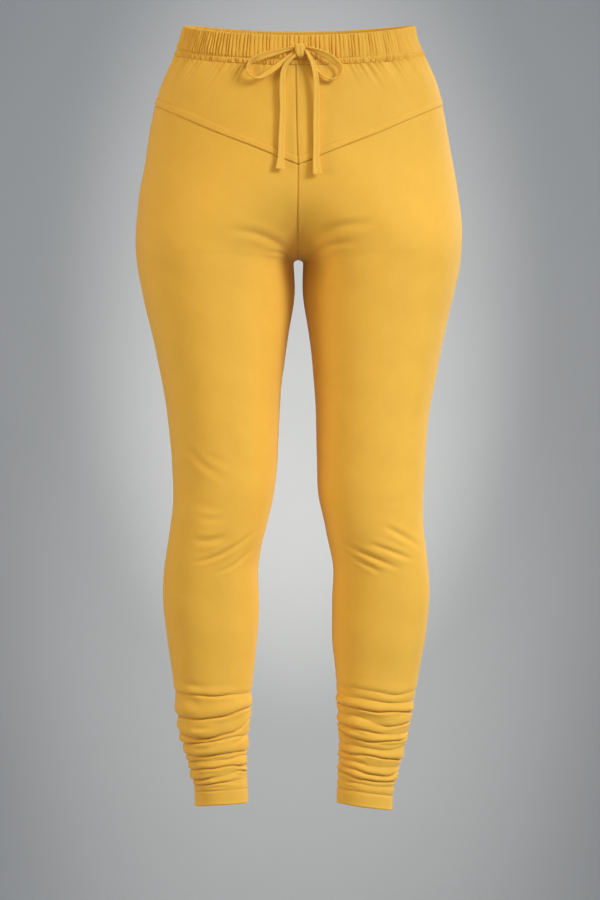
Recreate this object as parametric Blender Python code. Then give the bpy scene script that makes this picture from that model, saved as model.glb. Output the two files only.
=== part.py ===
"""Churidar pants: gathered elastic waistband with a bow, V-shaped front yoke, legs stacked at the ankles.

Run it with:  blender --background --python part.py

Metres, +Z up. The wearer faces -Y, so the wearer's left is +X. The origin is the middle of the waist
opening, halfway up the elastic casing, where the body holds the pants up. Each panel is a thin closed
wall: an outer skin that carries the folds, an inner skin one cloth thickness behind it, and narrow rims
at the seams. Every panel of a leg is read from one form, which a table of sections describes.
"""

import math

import bmesh
import bpy
import numpy as np

MM = 0.001

# ---------------------------------------------------------------- cloth and seams
CLOTH = 1.5 * MM                # thickness of the cotton knit wall
SEAM_GAP = 0.3 * MM             # clear space between neighbouring pieces

# ---------------------------------------------------------------- waistband
CASING_TOP = 18.5 * MM          # top edge of the elastic casing, at the sides as the two below
CASING_BOTTOM = -10.0 * MM      # stitch line under the elastic
STRIP_BOTTOM = -17.0 * MM       # lower edge of the narrow shirred strip
FRONT_DIP = 25.0 * MM           # how far the band drops from the sides to the centre front
BACK_LIFT = 6.0 * MM            # how far it rises to the centre back
GATHERS = 110                   # gathers all round the elastic
GATHER_DEPTH = 1.3 * MM
TOP_INSET = -1.4 * MM           # the band's upper and lower edges lie inside its face
FOOT_INSET = -0.3 * MM
GATHER_UNEVEN = 0.3             # share by which gathers differ in width and depth
CREST_PLACES = (0.0, 0.36, 0.68)    # where a gather's points lie between one trough and the next
CREST_HEIGHTS = (-0.65, 0.45, 0.35)     # their height, in gather depths
LINING_POINTS = 66              # points round the plain inner skin of the band

# Down the band: level, how far the row stands off the form, and its share of the gathers' depth.
BAND_ROWS = (
    # level        stand     gathers
    (CASING_TOP, TOP_INSET, 0.55),
    (15.3 * MM, 0.5 * MM, 1.00),
    (-6.2 * MM, 0.7 * MM, 1.00),
    (CASING_BOTTOM, -0.5 * MM, 0.45),
    (-13.5 * MM, 0.3 * MM, 0.60),
    (STRIP_BOTTOM, FOOT_INSET, 0.25),
)

# ---------------------------------------------------------------- legs
CROTCH = -262.5 * MM            # level of the lowest point of the crotch seam
RISE_BLEND = 150.0 * MM         # height over which the two legs part from one round torso section
CLEFT_SPREAD = 60.0 * MM        # how gently the hollow between the legs runs out over the thighs
CLEFT = 16.0 * MM               # rounding of the form next to the centre plane
ARCH = 4.5 * MM                 # height of the small round arch at the top of the gap between the legs
YOKE_APEX = -158.6 * MM         # point of the V at the centre front
YOKE_SIDE = -66.0 * MM          # where the yoke seam reaches the side seam
YOKE_BEND = 0.93                # 1 is a straight seam on the flat panel
KNEE_TOP = -560 * MM            # rows lie closer together between these two levels
KNEE_END = -650 * MM
COLUMNS = 10                    # strips across each panel
STEP_DOWN = 0.3 * MM            # short steps on the form that its outward directions are worked out from
STEP_ROUND = 0.001
YOKE_ROWS = 5
YOKE_LINING_ROWS = [0, 2, 5]    # those of the yoke's rows that its inner skin has
RISE_CROWDING = 0.9             # how much closer rows lie towards the crotch, above and below it
THIGH_CROWDING = 0.7

# Sections of the pants (mm). The legs part below the crotch, and the torso has no inner reach.
SECTIONS = (
    # level  right: outer inner   left: outer inner   front   back
    (30.0, 133.5, 0.0, 138.5, 0.0, -96.0, 95.0),
    (0.0, 140.0, 0.0, 143.0, 0.0, -98.5, 98.5),
    (-20.0, 149.5, 0.0, 152.5, 0.0, -101.0, 102.0),
    (-50.0, 163.5, 0.0, 166.0, 0.0, -106.0, 110.0),
    (-90.0, 175.0, 0.0, 175.5, 0.0, -111.0, 121.0),
    (-140.0, 183.5, 0.0, 184.5, 0.0, -115.0, 134.0),
    (-190.0, 192.0, 0.0, 193.5, 0.0, -116.0, 139.0),
    (-230.0, 195.5, 0.0, 197.0, 0.0, -114.0, 133.0),
    (-265.0, 194.0, 6.0, 194.5, 6.0, -110.5, 120.0),
    (-300.0, 187.5, 4.0, 187.5, 5.0, -106.5, 106.0),
    (-345.0, 177.0, 10.5, 176.5, 11.5, -101.5, 92.0),
    (-400.0, 165.0, 18.5, 165.5, 18.0, -95.0, 81.0),
    (-455.0, 156.0, 23.0, 155.5, 21.0, -88.5, 72.0),
    (-505.0, 151.5, 25.0, 152.0, 22.0, -82.0, 64.0),
    (-545.0, 149.5, 29.5, 149.5, 24.0, -77.0, 58.5),
    (-585.0, 153.5, 39.0, 150.0, 32.5, -71.0, 56.0),
    (-630.0, 160.5, 48.0, 155.5, 41.5, -62.0, 60.5),
    (-675.0, 162.5, 47.0, 157.0, 40.5, -54.0, 66.0),
    (-715.0, 158.0, 49.0, 152.5, 40.5, -48.0, 65.5),
    (-755.0, 152.5, 53.5, 145.5, 44.5, -41.5, 59.5),
    (-795.0, 145.5, 57.5, 138.0, 47.0, -36.5, 53.0),
    (-835.0, 139.5, 60.5, 130.5, 49.0, -31.5, 49.0),
    (-870.0, 130.5, 62.0, 122.0, 48.0, -28.0, 46.5),
    (-900.0, 125.0, 60.5, 114.5, 46.0, -26.0, 45.0),
    (-925.0, 124.5, 60.0, 113.5, 46.0, -25.5, 44.5),
)

# Crease lines of the stacked ankle, top to bottom (mm). A line is highest at the inner leg by twice its
# tilt, and hangs lower at the front by its sag. Below it, the cloth swells by up to `swell`, most at the
# angle `turn` (degrees from the inseam: 90 front, 180 outer side, 270 back).
RIGHT_FOLDS = (
    # level  tilt  sag  swell  turn
    (-781.2, -1.2, 1.8, 2.6, 150.0),
    (-802.8, 3.6, 7.0, 3.6, 60.0),
    (-823.0, 3.8, 8.3, 2.4, 200.0),
    (-836.0, 1.8, 2.4, 3.8, 110.0),
    (-852.6, 1.8, 1.9, 1.4, 170.0),
    (-861.0, 2.6, 0.8, 1.7, 330.0),
    (-868.5, 4.4, 0.8, 2.9, 120.0),
    (-880.5, 3.6, 0.2, 1.9, 40.0),
    (-888.8, 3.2, 0.0, 2.3, 140.0),
    (-898.8, 3.0, -1.6, 1.1, 90.0),
    (-917.0, 1.8, -1.0, 0.0, 90.0),
)
LEFT_FOLDS = (
    # level  tilt  sag  swell  turn
    (-774.0, 8.4, 4.9, 3.0, 60.0),
    (-798.9, 5.7, 2.6, 2.3, 160.0),
    (-810.6, 4.2, 1.6, 2.2, 100.0),
    (-819.2, 3.4, 6.4, 1.9, 20.0),
    (-828.6, 5.4, 7.4, 3.4, 110.0),
    (-843.8, 4.8, 3.0, 2.6, 60.0),
    (-856.8, 4.8, 0.6, 2.0, 130.0),
    (-866.8, 4.2, 0.2, 2.2, 210.0),
    (-876.0, 3.6, 0.0, 1.9, 80.0),
    (-884.4, 3.6, 0.0, 1.7, 150.0),
    (-892.0, 3.6, -0.6, 2.0, 60.0),
    (-902.0, 3.9, -2.2, 1.1, 90.0),
    (-918.8, 4.4, -0.4, 0.0, 90.0),
)
# Rows of a leg panel's skins: rise, thigh, knee and calf, then the rows from one crease to the next.
OUTER_COUNTS = (8, 11, 9, 5, (0.0, 0.34, 0.74))
INNER_COUNTS = (8, 9, 6, 5, (0.0, 0.5))
SWELL_SKEW = 1.3                # above 1, a fold is fullest below its middle
SWELL_ROUND = 0.7               # below 1, creases are sharp and folds round
SWELL_FADE = 0.35               # share by which a fold flattens on its shallow side
CREASE_RIDGE = 0.35             # height of the ridges beside a long crease, as a share of its depth
RIDGE_PLACE = 1.9               # their distance from its line, in half-widths
CREASE_STEPS = 9                # points along the line of a long crease
CREASE_ENDS = (0.12, 0.88)      # a crease begins and ends at these places on a half wave of depth

# Long soft creases (mm): start, middle and end as x and level on the front or back of the leg, then
# the depth of the trough and its half-width. Negative x is the wearer's right leg.
CREASES = (
    # face  start            middle           end              depth  half-width
    ("front", (-72.0, -234.0), (-45.0, -246.0), (-13.0, -254.0), 1.6, 7.0),
    ("front", (86.0, -228.0), (56.0, -233.0), (24.0, -236.0), 1.5, 7.0),
    ("front", (-120.0, -622.0), (-92.0, -609.0), (-66.0, -596.0), 2.4, 5.0),
    ("front", (-96.0, -635.0), (-78.0, -627.0), (-60.0, -611.0), 1.8, 4.5),
    ("front", (-118.0, -483.0), (-103.0, -490.0), (-88.0, -499.0), 1.2, 7.0),
    ("front", (-122.0, -587.0), (-110.0, -588.5), (-98.0, -588.0), 1.2, 6.0),
    ("front", (50.0, -595.0), (78.0, -616.0), (118.0, -629.0), 2.4, 5.0),
    ("front", (68.0, -600.0), (96.0, -604.0), (130.0, -618.0), 2.2, 5.0),
    ("front", (55.0, -613.0), (76.0, -629.0), (95.0, -636.0), 1.6, 4.5),
    ("front", (101.0, -578.0), (124.0, -592.0), (141.0, -605.0), 1.5, 5.5),
    ("back", (-140.0, -598.0), (-104.0, -606.0), (-62.0, -596.0), 2.4, 6.0),
    ("back", (-132.0, -616.0), (-100.0, -622.0), (-58.0, -616.0), 1.8, 5.0),
    ("back", (52.0, -594.0), (94.0, -604.0), (136.0, -598.0), 2.4, 6.0),
    ("back", (58.0, -614.0), (98.0, -621.0), (134.0, -616.0), 1.8, 5.0),
    ("back", (-132.0, -262.0), (-82.0, -278.0), (-26.0, -276.0), 2.2, 9.0),
    ("back", (132.0, -262.0), (82.0, -278.0), (26.0, -276.0), 2.2, 9.0),
)

# ---------------------------------------------------------------- drawstring
TAPE_WIDTH = 7.5 * MM
TAPE_THICKNESS = 1.8 * MM
KNOT_PLACE = (2.3 * MM, -25.6 * MM)     # x and level of the knot's middle
KNOT_HALF = (6.1 * MM, 4.6 * MM, 8.1 * MM)
KNOT_SQUARING = 0.8             # 1 is a round knot, less is squarer
KNOT_LIFT = 1.7 * MM            # clear height from the form to the knot's back, over the gathers
TAPE_POINTS = 26                # rings along each loop or tail
# Corners of the tape's section, as shares of its half width and half thickness.
TAPE_CORNERS = (
    (1, 0.45), (0.82, 1), (-0.82, 1), (-1, 0.45),
    (-1, -0.45), (-0.82, -1), (0.82, -1), (1, -0.45),
)

# Routes of the tape (mm): x and level, how far its middle stands off the cloth, its roll (degrees: 0 lies
# flat to the front, 90 shows its edge) and its width as a share of the tape's width.
LOOP_RIGHT = (
    # x      level  stand  roll   width
    (-4.2, -22.0, 6.0, 58.0, 0.50),
    (-11.5, -23.8, 6.4, 34.0, 0.65),
    (-22.0, -26.8, 6.9, 18.0, 0.86),
    (-34.3, -30.2, 7.6, 12.0, 1.04),
    (-47.0, -34.2, 8.0, 24.0, 1.08),
    (-56.2, -39.8, 8.2, 60.0, 1.04),
    (-59.6, -47.5, 8.2, 84.0, 0.92),
    (-55.4, -55.0, 8.0, 88.0, 0.90),
    (-47.0, -57.6, 7.6, 62.0, 1.00),
    (-36.0, -52.6, 6.9, 36.0, 1.00),
    (-23.3, -43.2, 5.8, 30.0, 0.92),
    (-12.5, -33.2, 4.3, 44.0, 0.64),
    (-4.9, -27.0, 3.9, 60.0, 0.45),
)
LOOP_LEFT = (
    # x      level  stand  roll   width
    (8.8, -21.8, 6.2, -66.0, 0.50),
    (14.5, -23.6, 6.8, -58.0, 0.75),
    (22.5, -26.8, 7.6, -50.0, 0.95),
    (32.5, -31.4, 8.2, -46.0, 1.05),
    (43.0, -38.8, 8.4, -58.0, 1.05),
    (49.6, -47.8, 8.2, -80.0, 0.95),
    (46.8, -56.6, 8.0, -88.0, 0.90),
    (37.0, -59.4, 7.0, -84.0, 0.90),
    (26.5, -53.6, 5.3, -78.0, 0.85),
    (17.6, -42.0, 4.2, -80.0, 0.62),
    (12.0, -33.2, 3.8, -80.0, 0.50),
    (9.0, -29.0, 3.8, -80.0, 0.42),
)
TAIL_RIGHT = (
    # x      level  stand  roll   width
    (-3.2, -31.2, 7.6, 44.0, 0.50),
    (-8.0, -35.2, 8.4, 36.0, 0.66),
    (-13.2, -41.0, 8.2, 28.0, 0.78),
    (-17.0, -50.5, 7.8, 18.0, 0.86),
    (-18.4, -68.0, 6.8, 12.0, 0.90),
    (-17.9, -92.0, 6.0, 8.0, 0.92),
    (-18.8, -115.0, 5.4, 6.0, 0.95),
    (-19.6, -136.0, 5.2, 4.0, 1.00),
    (-20.0, -150.0, 5.2, 4.0, 1.05),
    (-21.1, -164.5, 5.6, 4.0, 1.45),
)
TAIL_LEFT = (
    # x      level  stand  roll   width
    (9.0, -25.6, 9.6, 60.0, 0.55),
    (12.6, -31.6, 10.2, 42.0, 0.72),
    (16.4, -40.0, 10.0, 28.0, 0.82),
    (19.6, -51.0, 10.0, 18.0, 0.86),
    (21.2, -70.0, 8.4, 12.0, 0.90),
    (21.1, -92.0, 6.9, 8.0, 0.92),
    (20.8, -115.0, 6.2, 6.0, 0.95),
    (21.0, -138.0, 5.8, 4.0, 1.00),
    (20.7, -155.0, 5.8, 4.0, 1.05),
    (22.1, -170.4, 6.2, 4.0, 1.40),
)

# ---------------------------------------------------------------- colours
MUSTARD = (0.76, 0.46, 0.09)
MUSTARD_TAPE = (0.80, 0.50, 0.11)

RIGHT = -1
LEFT = 1


def column(table, index):
    return np.array([row[index] for row in table], dtype=float)


def curve_through(stations, values, places):
    """Smooth curve through the stations, read at the given places (Hermite, with averaged slopes)."""
    order = np.argsort(stations)
    knots = np.asarray(stations, dtype=float)[order]
    heights = np.asarray(values, dtype=float)[order]
    slopes = np.gradient(heights, knots)
    places = np.clip(places, knots[0], knots[-1])
    left = np.clip(np.searchsorted(knots, places) - 1, 0, len(knots) - 2)
    span = knots[left + 1] - knots[left]
    s = (places - knots[left]) / span
    rise = s * s * (3 - 2 * s)
    start = s * (1 - s) ** 2 * span * slopes[left]
    end = -s * s * (1 - s) * span * slopes[left + 1]
    return heights[left] * (1 - rise) + heights[left + 1] * rise + start + end


def section_sizes(side, levels):
    """Outer and inner reach, middle and half depth of one leg's sections at the given levels."""
    stations = column(SECTIONS, 0) * MM
    first = 1 if side == RIGHT else 3
    outer = curve_through(stations, column(SECTIONS, first) * MM, levels)
    parted = column(SECTIONS, first + 1) > 0
    inner = curve_through(stations[parted], column(SECTIONS, first + 1)[parted] * MM, levels)
    front = curve_through(stations, column(SECTIONS, 5) * MM, levels)
    back = curve_through(stations, column(SECTIONS, 6) * MM, levels)
    return outer, inner, (front + back) / 2, (back - front) / 2


def leg_section(side, levels):
    """One leg's section at each level. Widths across it are measured as hypot(x, CLEFT), which rounds
    the form where it meets the centre plane."""
    outer, inner, middle, depth = section_sizes(side, levels)
    reach, near = np.hypot(outer, CLEFT), np.hypot(inner, CLEFT)
    height = (levels - CROTCH) / RISE_BLEND
    drop = np.clip((CROTCH - levels) / ARCH, 0, 1)
    arch = np.hypot(inner * np.sqrt(1 - (1 - drop) ** 2), CLEFT)
    risen = np.clip(height, 0, 1)
    fullest = CLEFT + ((reach + near) / 2 - CLEFT) * (1 - risen**2 * (3 - 2 * risen))
    meet = rise_share(height)
    start = np.maximum(np.where(levels > CROTCH, np.arccos(meet), 0.0), seam_angle(depth))
    return {
        "fullest": fullest,
        "inner_width": fullest - np.where(levels > CROTCH, CLEFT, arch),
        "outer_width": reach - fullest,
        "height": height,
        "meet": meet,
        "start": start,
        "middle": middle,
        "depth": depth,
    }


def rise_share(height):
    """How far the form is hollowed at the centre plane: all the way at the crotch, not at all above."""
    return (1 - np.clip(height, 0, 1)) ** 2


def hollow(inward, height):
    """Share of the depth that is lost between the fullest line (inward 0) and the centre plane (1).
    Away from the centre plane the hollow fades in slowly, so the thigh runs smoothly into the torso."""
    away = CLEFT_SPREAD / RISE_BLEND * (1 - inward)
    return inward * rise_share((height + np.hypot(height, away)) / 2)


def seam_angle(depth):
    """Angle of half a seam gap, on a section of this half depth."""
    return 0.5 * SEAM_GAP / depth


def leg_points(side, across, levels, nudge=0.0):
    """Points of the form. `across` runs from the front edge (0) round the outside (0.5) to the back (1),
    and `nudge` moves a column by that many half seam gaps towards the back."""
    form = leg_section(side, levels)
    angle = form["start"] + (2 * math.pi - 2 * form["start"]) * across
    angle = angle + nudge * seam_angle(form["depth"])
    cosine = np.cos(angle)
    inward = np.clip(cosine / np.maximum(form["meet"], 1e-6), 0, 1)
    width = np.where(cosine > 0, form["inner_width"] * inward, form["outer_width"] * cosine)
    lost = np.where(cosine > 0, hollow(inward, form["height"]), -cosine)
    reach = form["fullest"] - width
    x = np.sqrt(np.maximum(reach**2 - CLEFT**2, (0.5 * SEAM_GAP) ** 2))
    y = form["middle"] - form["depth"] * np.sqrt(1 - lost**2) * np.sign(np.sin(angle))
    return np.stack([side * x, y, levels], axis=-1)


def front_surface(x, level):
    """Y of the form's front at one place, found on the section at that level."""
    form = leg_section(RIGHT if x < 0 else LEFT, np.array([level]))
    width = form["fullest"] - math.hypot(x, CLEFT)
    inward = width / np.maximum(form["inner_width"], 1e-6)
    lost = np.where(width > 0, hollow(inward, form["height"]), width / form["outer_width"])
    return (form["middle"] - form["depth"] * np.sqrt(1 - lost**2))[0]


def skin_directions(side, across, levels):
    """Outward direction of the form at each point, from short steps down it and round it."""
    down = leg_points(side, across, levels - STEP_DOWN) - leg_points(side, across, levels + STEP_DOWN)
    around = leg_points(side, across + STEP_ROUND, levels) - leg_points(side, across - STEP_ROUND, levels)
    out = np.cross(down, around) * side
    at_centre = np.abs(leg_points(side, across, levels)[..., 0]) < SEAM_GAP
    out[at_centre, 0] = 0.0
    return out / np.linalg.norm(out, axis=-1, keepdims=True)


def crease_depth(points):
    """Depth of the long soft creases at each point, as a trough with a low ridge on each side."""
    depth = np.zeros(points.shape[:2])
    middle = section_sizes(LEFT, points[..., 2])[2]
    steps = np.linspace(0, 1, CREASE_STEPS)
    for face, start, mid, end, deep, half_width in CREASES:
        bezier = [
            (1 - s) ** 2 * np.array(start)
            + 2 * s * (1 - s) * (2 * np.array(mid) - (np.array(start) + np.array(end)) / 2)
            + s**2 * np.array(end)
            for s in steps
        ]
        line = np.array(bezier) * MM
        offsets = points[..., None, [0, 2]] - line
        distance = np.linalg.norm(offsets, axis=-1)
        nearest = distance.argmin(axis=-1)
        along = nearest / (CREASE_STEPS - 1)
        gap = distance.min(axis=-1) / (half_width * MM)
        trough = np.exp(-(gap**2)) - CREASE_RIDGE * np.exp(-((gap - RIDGE_PLACE) ** 2))
        fade = np.sin(math.pi * (CREASE_ENDS[0] + (CREASE_ENDS[1] - CREASE_ENDS[0]) * along))
        on_face = (points[..., 1] < middle) if face == "front" else (points[..., 1] > middle)
        depth += np.where(on_face, deep * MM * trough * fade, 0.0)
    return depth


def waist_drop(across):
    """How far the band's lines sit above (+) or below (-) their side level, from front (0) to back (1)."""
    forward = np.cos(math.pi * across)
    even = (BACK_LIFT - FRONT_DIP) / 2
    odd = -(BACK_LIFT + FRONT_DIP) / 2
    return odd * forward + even * forward**2


def panel_top(across):
    return STRIP_BOTTOM - SEAM_GAP + waist_drop(across)


def yoke_seam(across):
    return YOKE_APEX + (YOKE_SIDE - YOKE_APEX) * (2 * across) ** YOKE_BEND


def fold_line(fold, across):
    level, tilt, sag = fold[0], fold[1], fold[2]
    angle = 2 * math.pi * across
    return (level + tilt * np.cos(angle) - sag * np.sin(angle)) * MM


def spread_rows(upper, lower, count):
    """Rows evenly spaced from one line to another, without the last."""
    return [upper + (lower - upper) * k / count for k in range(count)]


def rise_rows(top, across, count):
    """Rows from a panel's top edge to the crotch, closer together near the crotch curve."""
    crowding = 1 + RISE_CROWDING * np.cos(math.pi * across) ** 2
    return [CROTCH + (top - CROTCH) * (1 - k / count) ** crowding for k in range(count)]


def thigh_rows(across, end, count):
    """Rows from the crotch down to a level, closer together near the crotch."""
    crowding = 1 + THIGH_CROWDING * np.cos(math.pi * across) ** 2
    return [CROTCH + (end - CROTCH) * (k / count) ** crowding for k in range(count)]


def leg_rows(side, across, top, counts):
    """Levels and swells of a leg panel's rows: rise, thigh, knee, calf, then the stacked folds."""
    folds = RIGHT_FOLDS if side == RIGHT else LEFT_FOLDS
    rise, thigh, knee, calf, steps = counts
    flat = np.ones_like(across)
    knee_top = KNEE_TOP * flat
    knee_end = KNEE_END * flat
    plain = rise_rows(top, across, rise) + thigh_rows(across, knee_top, thigh)
    plain += spread_rows(knee_top, knee_end, knee)
    plain += spread_rows(knee_end, fold_line(folds[0], across), calf)
    rows = [(levels, 0 * flat) for levels in plain]
    for fold, following in zip(folds, folds[1:]):
        upper, lower = fold_line(fold, across), fold_line(following, across)
        lean = np.cos(2 * math.pi * across - math.radians(fold[4]))
        swell = fold[3] * MM * (1 - SWELL_FADE * (1 - lean) / 2)
        for step in steps:
            fullness = math.sin(math.pi * step**SWELL_SKEW) ** SWELL_ROUND
            rows.append((upper + (lower - upper) * step, swell * fullness))
    rows.append((fold_line(folds[-1], across), 0 * flat))
    return np.array([row[0] for row in rows]), np.array([row[1] for row in rows])


def grid_points(side, columns, levels, swells, behind):
    """A skin of the wall: the form, its creases and folds, and a distance behind the outer skin."""
    across, nudge = columns
    form = leg_points(side, across, levels, nudge)
    out = skin_directions(side, across, levels)
    relief = swells - crease_depth(form) - behind
    points = form + out * relief[..., None]
    points[..., 0] = side * np.maximum(points[..., 0] * side, 0.5 * SEAM_GAP)
    return points


def new_object(name, mesh, colour):
    material = bpy.data.materials.new(name + "_cloth")
    material.use_nodes = True
    shader = material.node_tree.nodes["Principled BSDF"]
    shader.inputs["Base Color"].default_value = (*colour, 1.0)
    shader.inputs["Roughness"].default_value = 0.85
    shader.inputs["Metallic"].default_value = 0.0
    mesh.materials.append(material)
    part = bpy.data.objects.new(name, mesh)
    bpy.context.scene.collection.objects.link(part)
    return part


def add_grid(mesh, points, inward):
    """Adds a grid of points and its triangles. Returns the grid's vertices."""
    verts = [[mesh.verts.new(point) for point in row] for row in points]
    for upper, lower in zip(verts, verts[1:]):
        for k in range(len(upper) - 1):
            quad = [upper[k], lower[k], lower[k + 1], upper[k + 1]]
            mesh.faces.new(quad[::-1] if inward else quad)
    return verts


def zip_edges(mesh, first, second, first_places, second_places):
    """Triangles between two rows of vertices, taken in the order of their places."""
    i = j = 0
    while i < len(first) - 1 or j < len(second) - 1:
        second_done = j == len(second) - 1
        if second_done or (i < len(first) - 1 and first_places[i + 1] <= second_places[j + 1]):
            mesh.faces.new([first[i], first[i + 1], second[j]])
            i += 1
        else:
            mesh.faces.new([first[i], second[j + 1], second[j]])
            j += 1


def edge_places(points):
    """Distance along a row of points, as a share of its length."""
    steps = np.linalg.norm(np.diff(points, axis=0), axis=1)
    return np.concatenate([[0], np.cumsum(steps)]) / steps.sum()


def panel(name, side, outer, inner):
    """One closed panel from its outer and inner grids of points."""
    mesh = bmesh.new()
    skin = add_grid(mesh, outer, side == LEFT)
    lining = add_grid(mesh, inner, side == RIGHT)
    borders = (
        (skin[0], lining[0], outer[0], inner[0]),
        (skin[-1], lining[-1], outer[-1], inner[-1]),
        ([row[0] for row in skin], [row[0] for row in lining], outer[:, 0], inner[:, 0]),
        ([row[-1] for row in skin], [row[-1] for row in lining], outer[:, -1], inner[:, -1]),
    )
    for skin_edge, lining_edge, skin_points, lining_points in borders:
        zip_edges(mesh, skin_edge, lining_edge, edge_places(skin_points), edge_places(lining_points))
    return finished(name, mesh, MUSTARD)


def finished(name, mesh, colour):
    """Turns all faces outwards and makes the object, shaded smooth but for its rims."""
    bmesh.ops.triangulate(mesh, faces=mesh.faces[:])
    bmesh.ops.recalc_face_normals(mesh, faces=mesh.faces[:])
    data = bpy.data.meshes.new(name)
    mesh.to_mesh(data)
    mesh.free()
    data.shade_smooth()
    data.set_sharp_from_angle(angle=math.radians(50))
    return new_object(name, data, colour)


def panel_columns(face):
    """Places of a panel's columns, and the nudge that keeps its edge half a gap off the side seam."""
    nudge = np.zeros(COLUMNS + 1)
    if face == "front":
        nudge[-1] = -1
        return np.linspace(0, 0.5, COLUMNS + 1), nudge
    nudge[0] = 1
    return np.linspace(0.5, 1, COLUMNS + 1), nudge


def leg_panel(name, side, face, top_line):
    """A front or a back panel of one leg, down to the hem."""
    columns = panel_columns(face)
    top = top_line(columns[0])
    skins = []
    for counts, behind in ((OUTER_COUNTS, 0.0), (INNER_COUNTS, CLOTH)):
        levels, swells = leg_rows(side, columns[0], top, counts)
        skins.append(grid_points(side, columns, levels, swells, behind))
    return panel(name, side, skins[0], skins[1])


def yoke_panel(name, side):
    """The front yoke, from the waistband down to the slanted seam."""
    columns = panel_columns("front")
    top, foot = panel_top(columns[0]), yoke_seam(columns[0]) + SEAM_GAP
    levels = np.array(spread_rows(top, foot, YOKE_ROWS) + [foot])
    lining_levels = levels[YOKE_LINING_ROWS]
    outer = grid_points(side, columns, levels, np.zeros_like(levels), 0.0)
    inner = grid_points(side, columns, lining_levels, np.zeros_like(lining_levels), CLOTH)
    return panel(name, side, outer, inner)


def gather_turns():
    """Places of the gathers round the band as turns from the centre front, with each one's depth."""
    index = np.arange(GATHERS)
    widths = 1 + GATHER_UNEVEN * (0.6 * np.sin(2.4 * index) + 0.4 * np.sin(5.1 * index + 1))
    starts = np.concatenate([[0], np.cumsum(widths)[:-1]]) / widths.sum()
    depths = GATHER_DEPTH * (1 + GATHER_UNEVEN * np.sin(3.7 * index + 0.5))
    return starts, widths / widths.sum(), depths


def band_ring(turns, level, stand):
    """Points of the waist form all round at one line of the band, moved out by `stand`."""
    side = np.where(turns < 0.5, LEFT, RIGHT)
    across = np.where(turns < 0.5, 2 * turns, 2 - 2 * turns)
    levels = level + waist_drop(across)
    outer, _, middle, depth = section_sizes(LEFT, levels)
    outer = np.where(side == LEFT, outer, section_sizes(RIGHT, levels)[0])
    angle = math.pi / 2 + math.pi * across
    x = -(outer + stand) * np.cos(angle) * side
    return np.stack([x, middle - (depth + stand) * np.sin(angle), levels], axis=-1)


def waistband():
    """The gathered casing and the shirred strip under it, as one ring with a plain inside."""
    starts, widths, depths = gather_turns()
    turns = (starts[:, None] + widths[:, None] * np.array(CREST_PLACES)).ravel()
    crests = (depths[:, None] * np.array(CREST_HEIGHTS)).ravel()
    lining_turns = np.arange(LINING_POINTS) / LINING_POINTS
    mesh = bmesh.new()
    rings = []
    for level, stand, share in BAND_ROWS:
        points = band_ring(turns, level, stand + share * crests)
        rings.append([mesh.verts.new(point) for point in points])
    lining = []
    trough = GATHER_DEPTH * min(CREST_HEIGHTS)
    for level, stand in ((CASING_TOP, TOP_INSET), (STRIP_BOTTOM, FOOT_INSET)):
        points = band_ring(lining_turns, level, stand + trough - CLOTH)
        lining.append([mesh.verts.new(point) for point in points])
    for loops in (rings, lining):
        for upper, lower in zip(loops, loops[1:]):
            for k in range(len(upper)):
                following = (k + 1) % len(upper)
                mesh.faces.new([upper[k], lower[k], lower[following], upper[following]])
    closed_turns = np.append(turns, 1.0)
    closed_lining = np.append(lining_turns, 1.0)
    for ring, inside in ((rings[0], lining[0]), (rings[-1], lining[1])):
        zip_edges(mesh, ring + ring[:1], inside + inside[:1], closed_turns, closed_lining)
    return finished("waistband", mesh, MUSTARD)


def tape(name, route):
    """A flat tape along its route, with a section of eight points and closed ends."""
    places = edge_places(np.array(route)[:, :2])
    steps = np.linspace(0, 1, TAPE_POINTS)
    x, level, stand, roll, share = (
        curve_through(places, column(route, index), steps) for index in range(5)
    )
    y = [front_surface(px * MM, pz * MM) for px, pz in zip(x, level)]
    path = np.stack([x * MM, np.array(y) - stand * MM, level * MM], axis=-1)
    along = np.gradient(path, axis=0)
    along /= np.linalg.norm(along, axis=1, keepdims=True)
    to_front = np.array([0.0, -1.0, 0.0])
    flat = np.cross(along, to_front)
    flat /= np.linalg.norm(flat, axis=1, keepdims=True)
    facing = np.cross(flat, along)
    lean = np.radians(roll)[:, None]
    width_way = flat * np.cos(lean) + facing * np.sin(lean)
    thick_way = np.cross(along, width_way)
    half_width = TAPE_WIDTH / 2 * share
    half_thick = TAPE_THICKNESS / 2
    mesh = bmesh.new()
    rings = []
    for k in range(TAPE_POINTS):
        ring = [
            path[k] + width_way[k] * half_width[k] * wide + thick_way[k] * half_thick * thick
            for wide, thick in TAPE_CORNERS
        ]
        rings.append([mesh.verts.new(point) for point in ring])
    for upper, lower in zip(rings, rings[1:]):
        for k in range(len(TAPE_CORNERS)):
            following = (k + 1) % len(TAPE_CORNERS)
            mesh.faces.new([upper[k], upper[following], lower[following], lower[k]])
    mesh.faces.new(rings[0])
    mesh.faces.new(rings[-1][::-1])
    return finished(name, mesh, MUSTARD_TAPE)


def knot():
    """The knot of the bow: a squared ball that rests on the casing."""
    x, level = KNOT_PLACE
    back = front_surface(x, level) - KNOT_LIFT
    mesh = bmesh.new()
    bmesh.ops.create_uvsphere(mesh, u_segments=14, v_segments=9, radius=1.0)
    for vert in mesh.verts:
        squared = [math.copysign(abs(value) ** KNOT_SQUARING, value) for value in vert.co]
        vert.co = (
            x + squared[0] * KNOT_HALF[0],
            back - KNOT_HALF[1] + squared[1] * KNOT_HALF[1],
            level + squared[2] * KNOT_HALF[2],
        )
    return finished("drawstring_knot", mesh, MUSTARD_TAPE)


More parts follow.
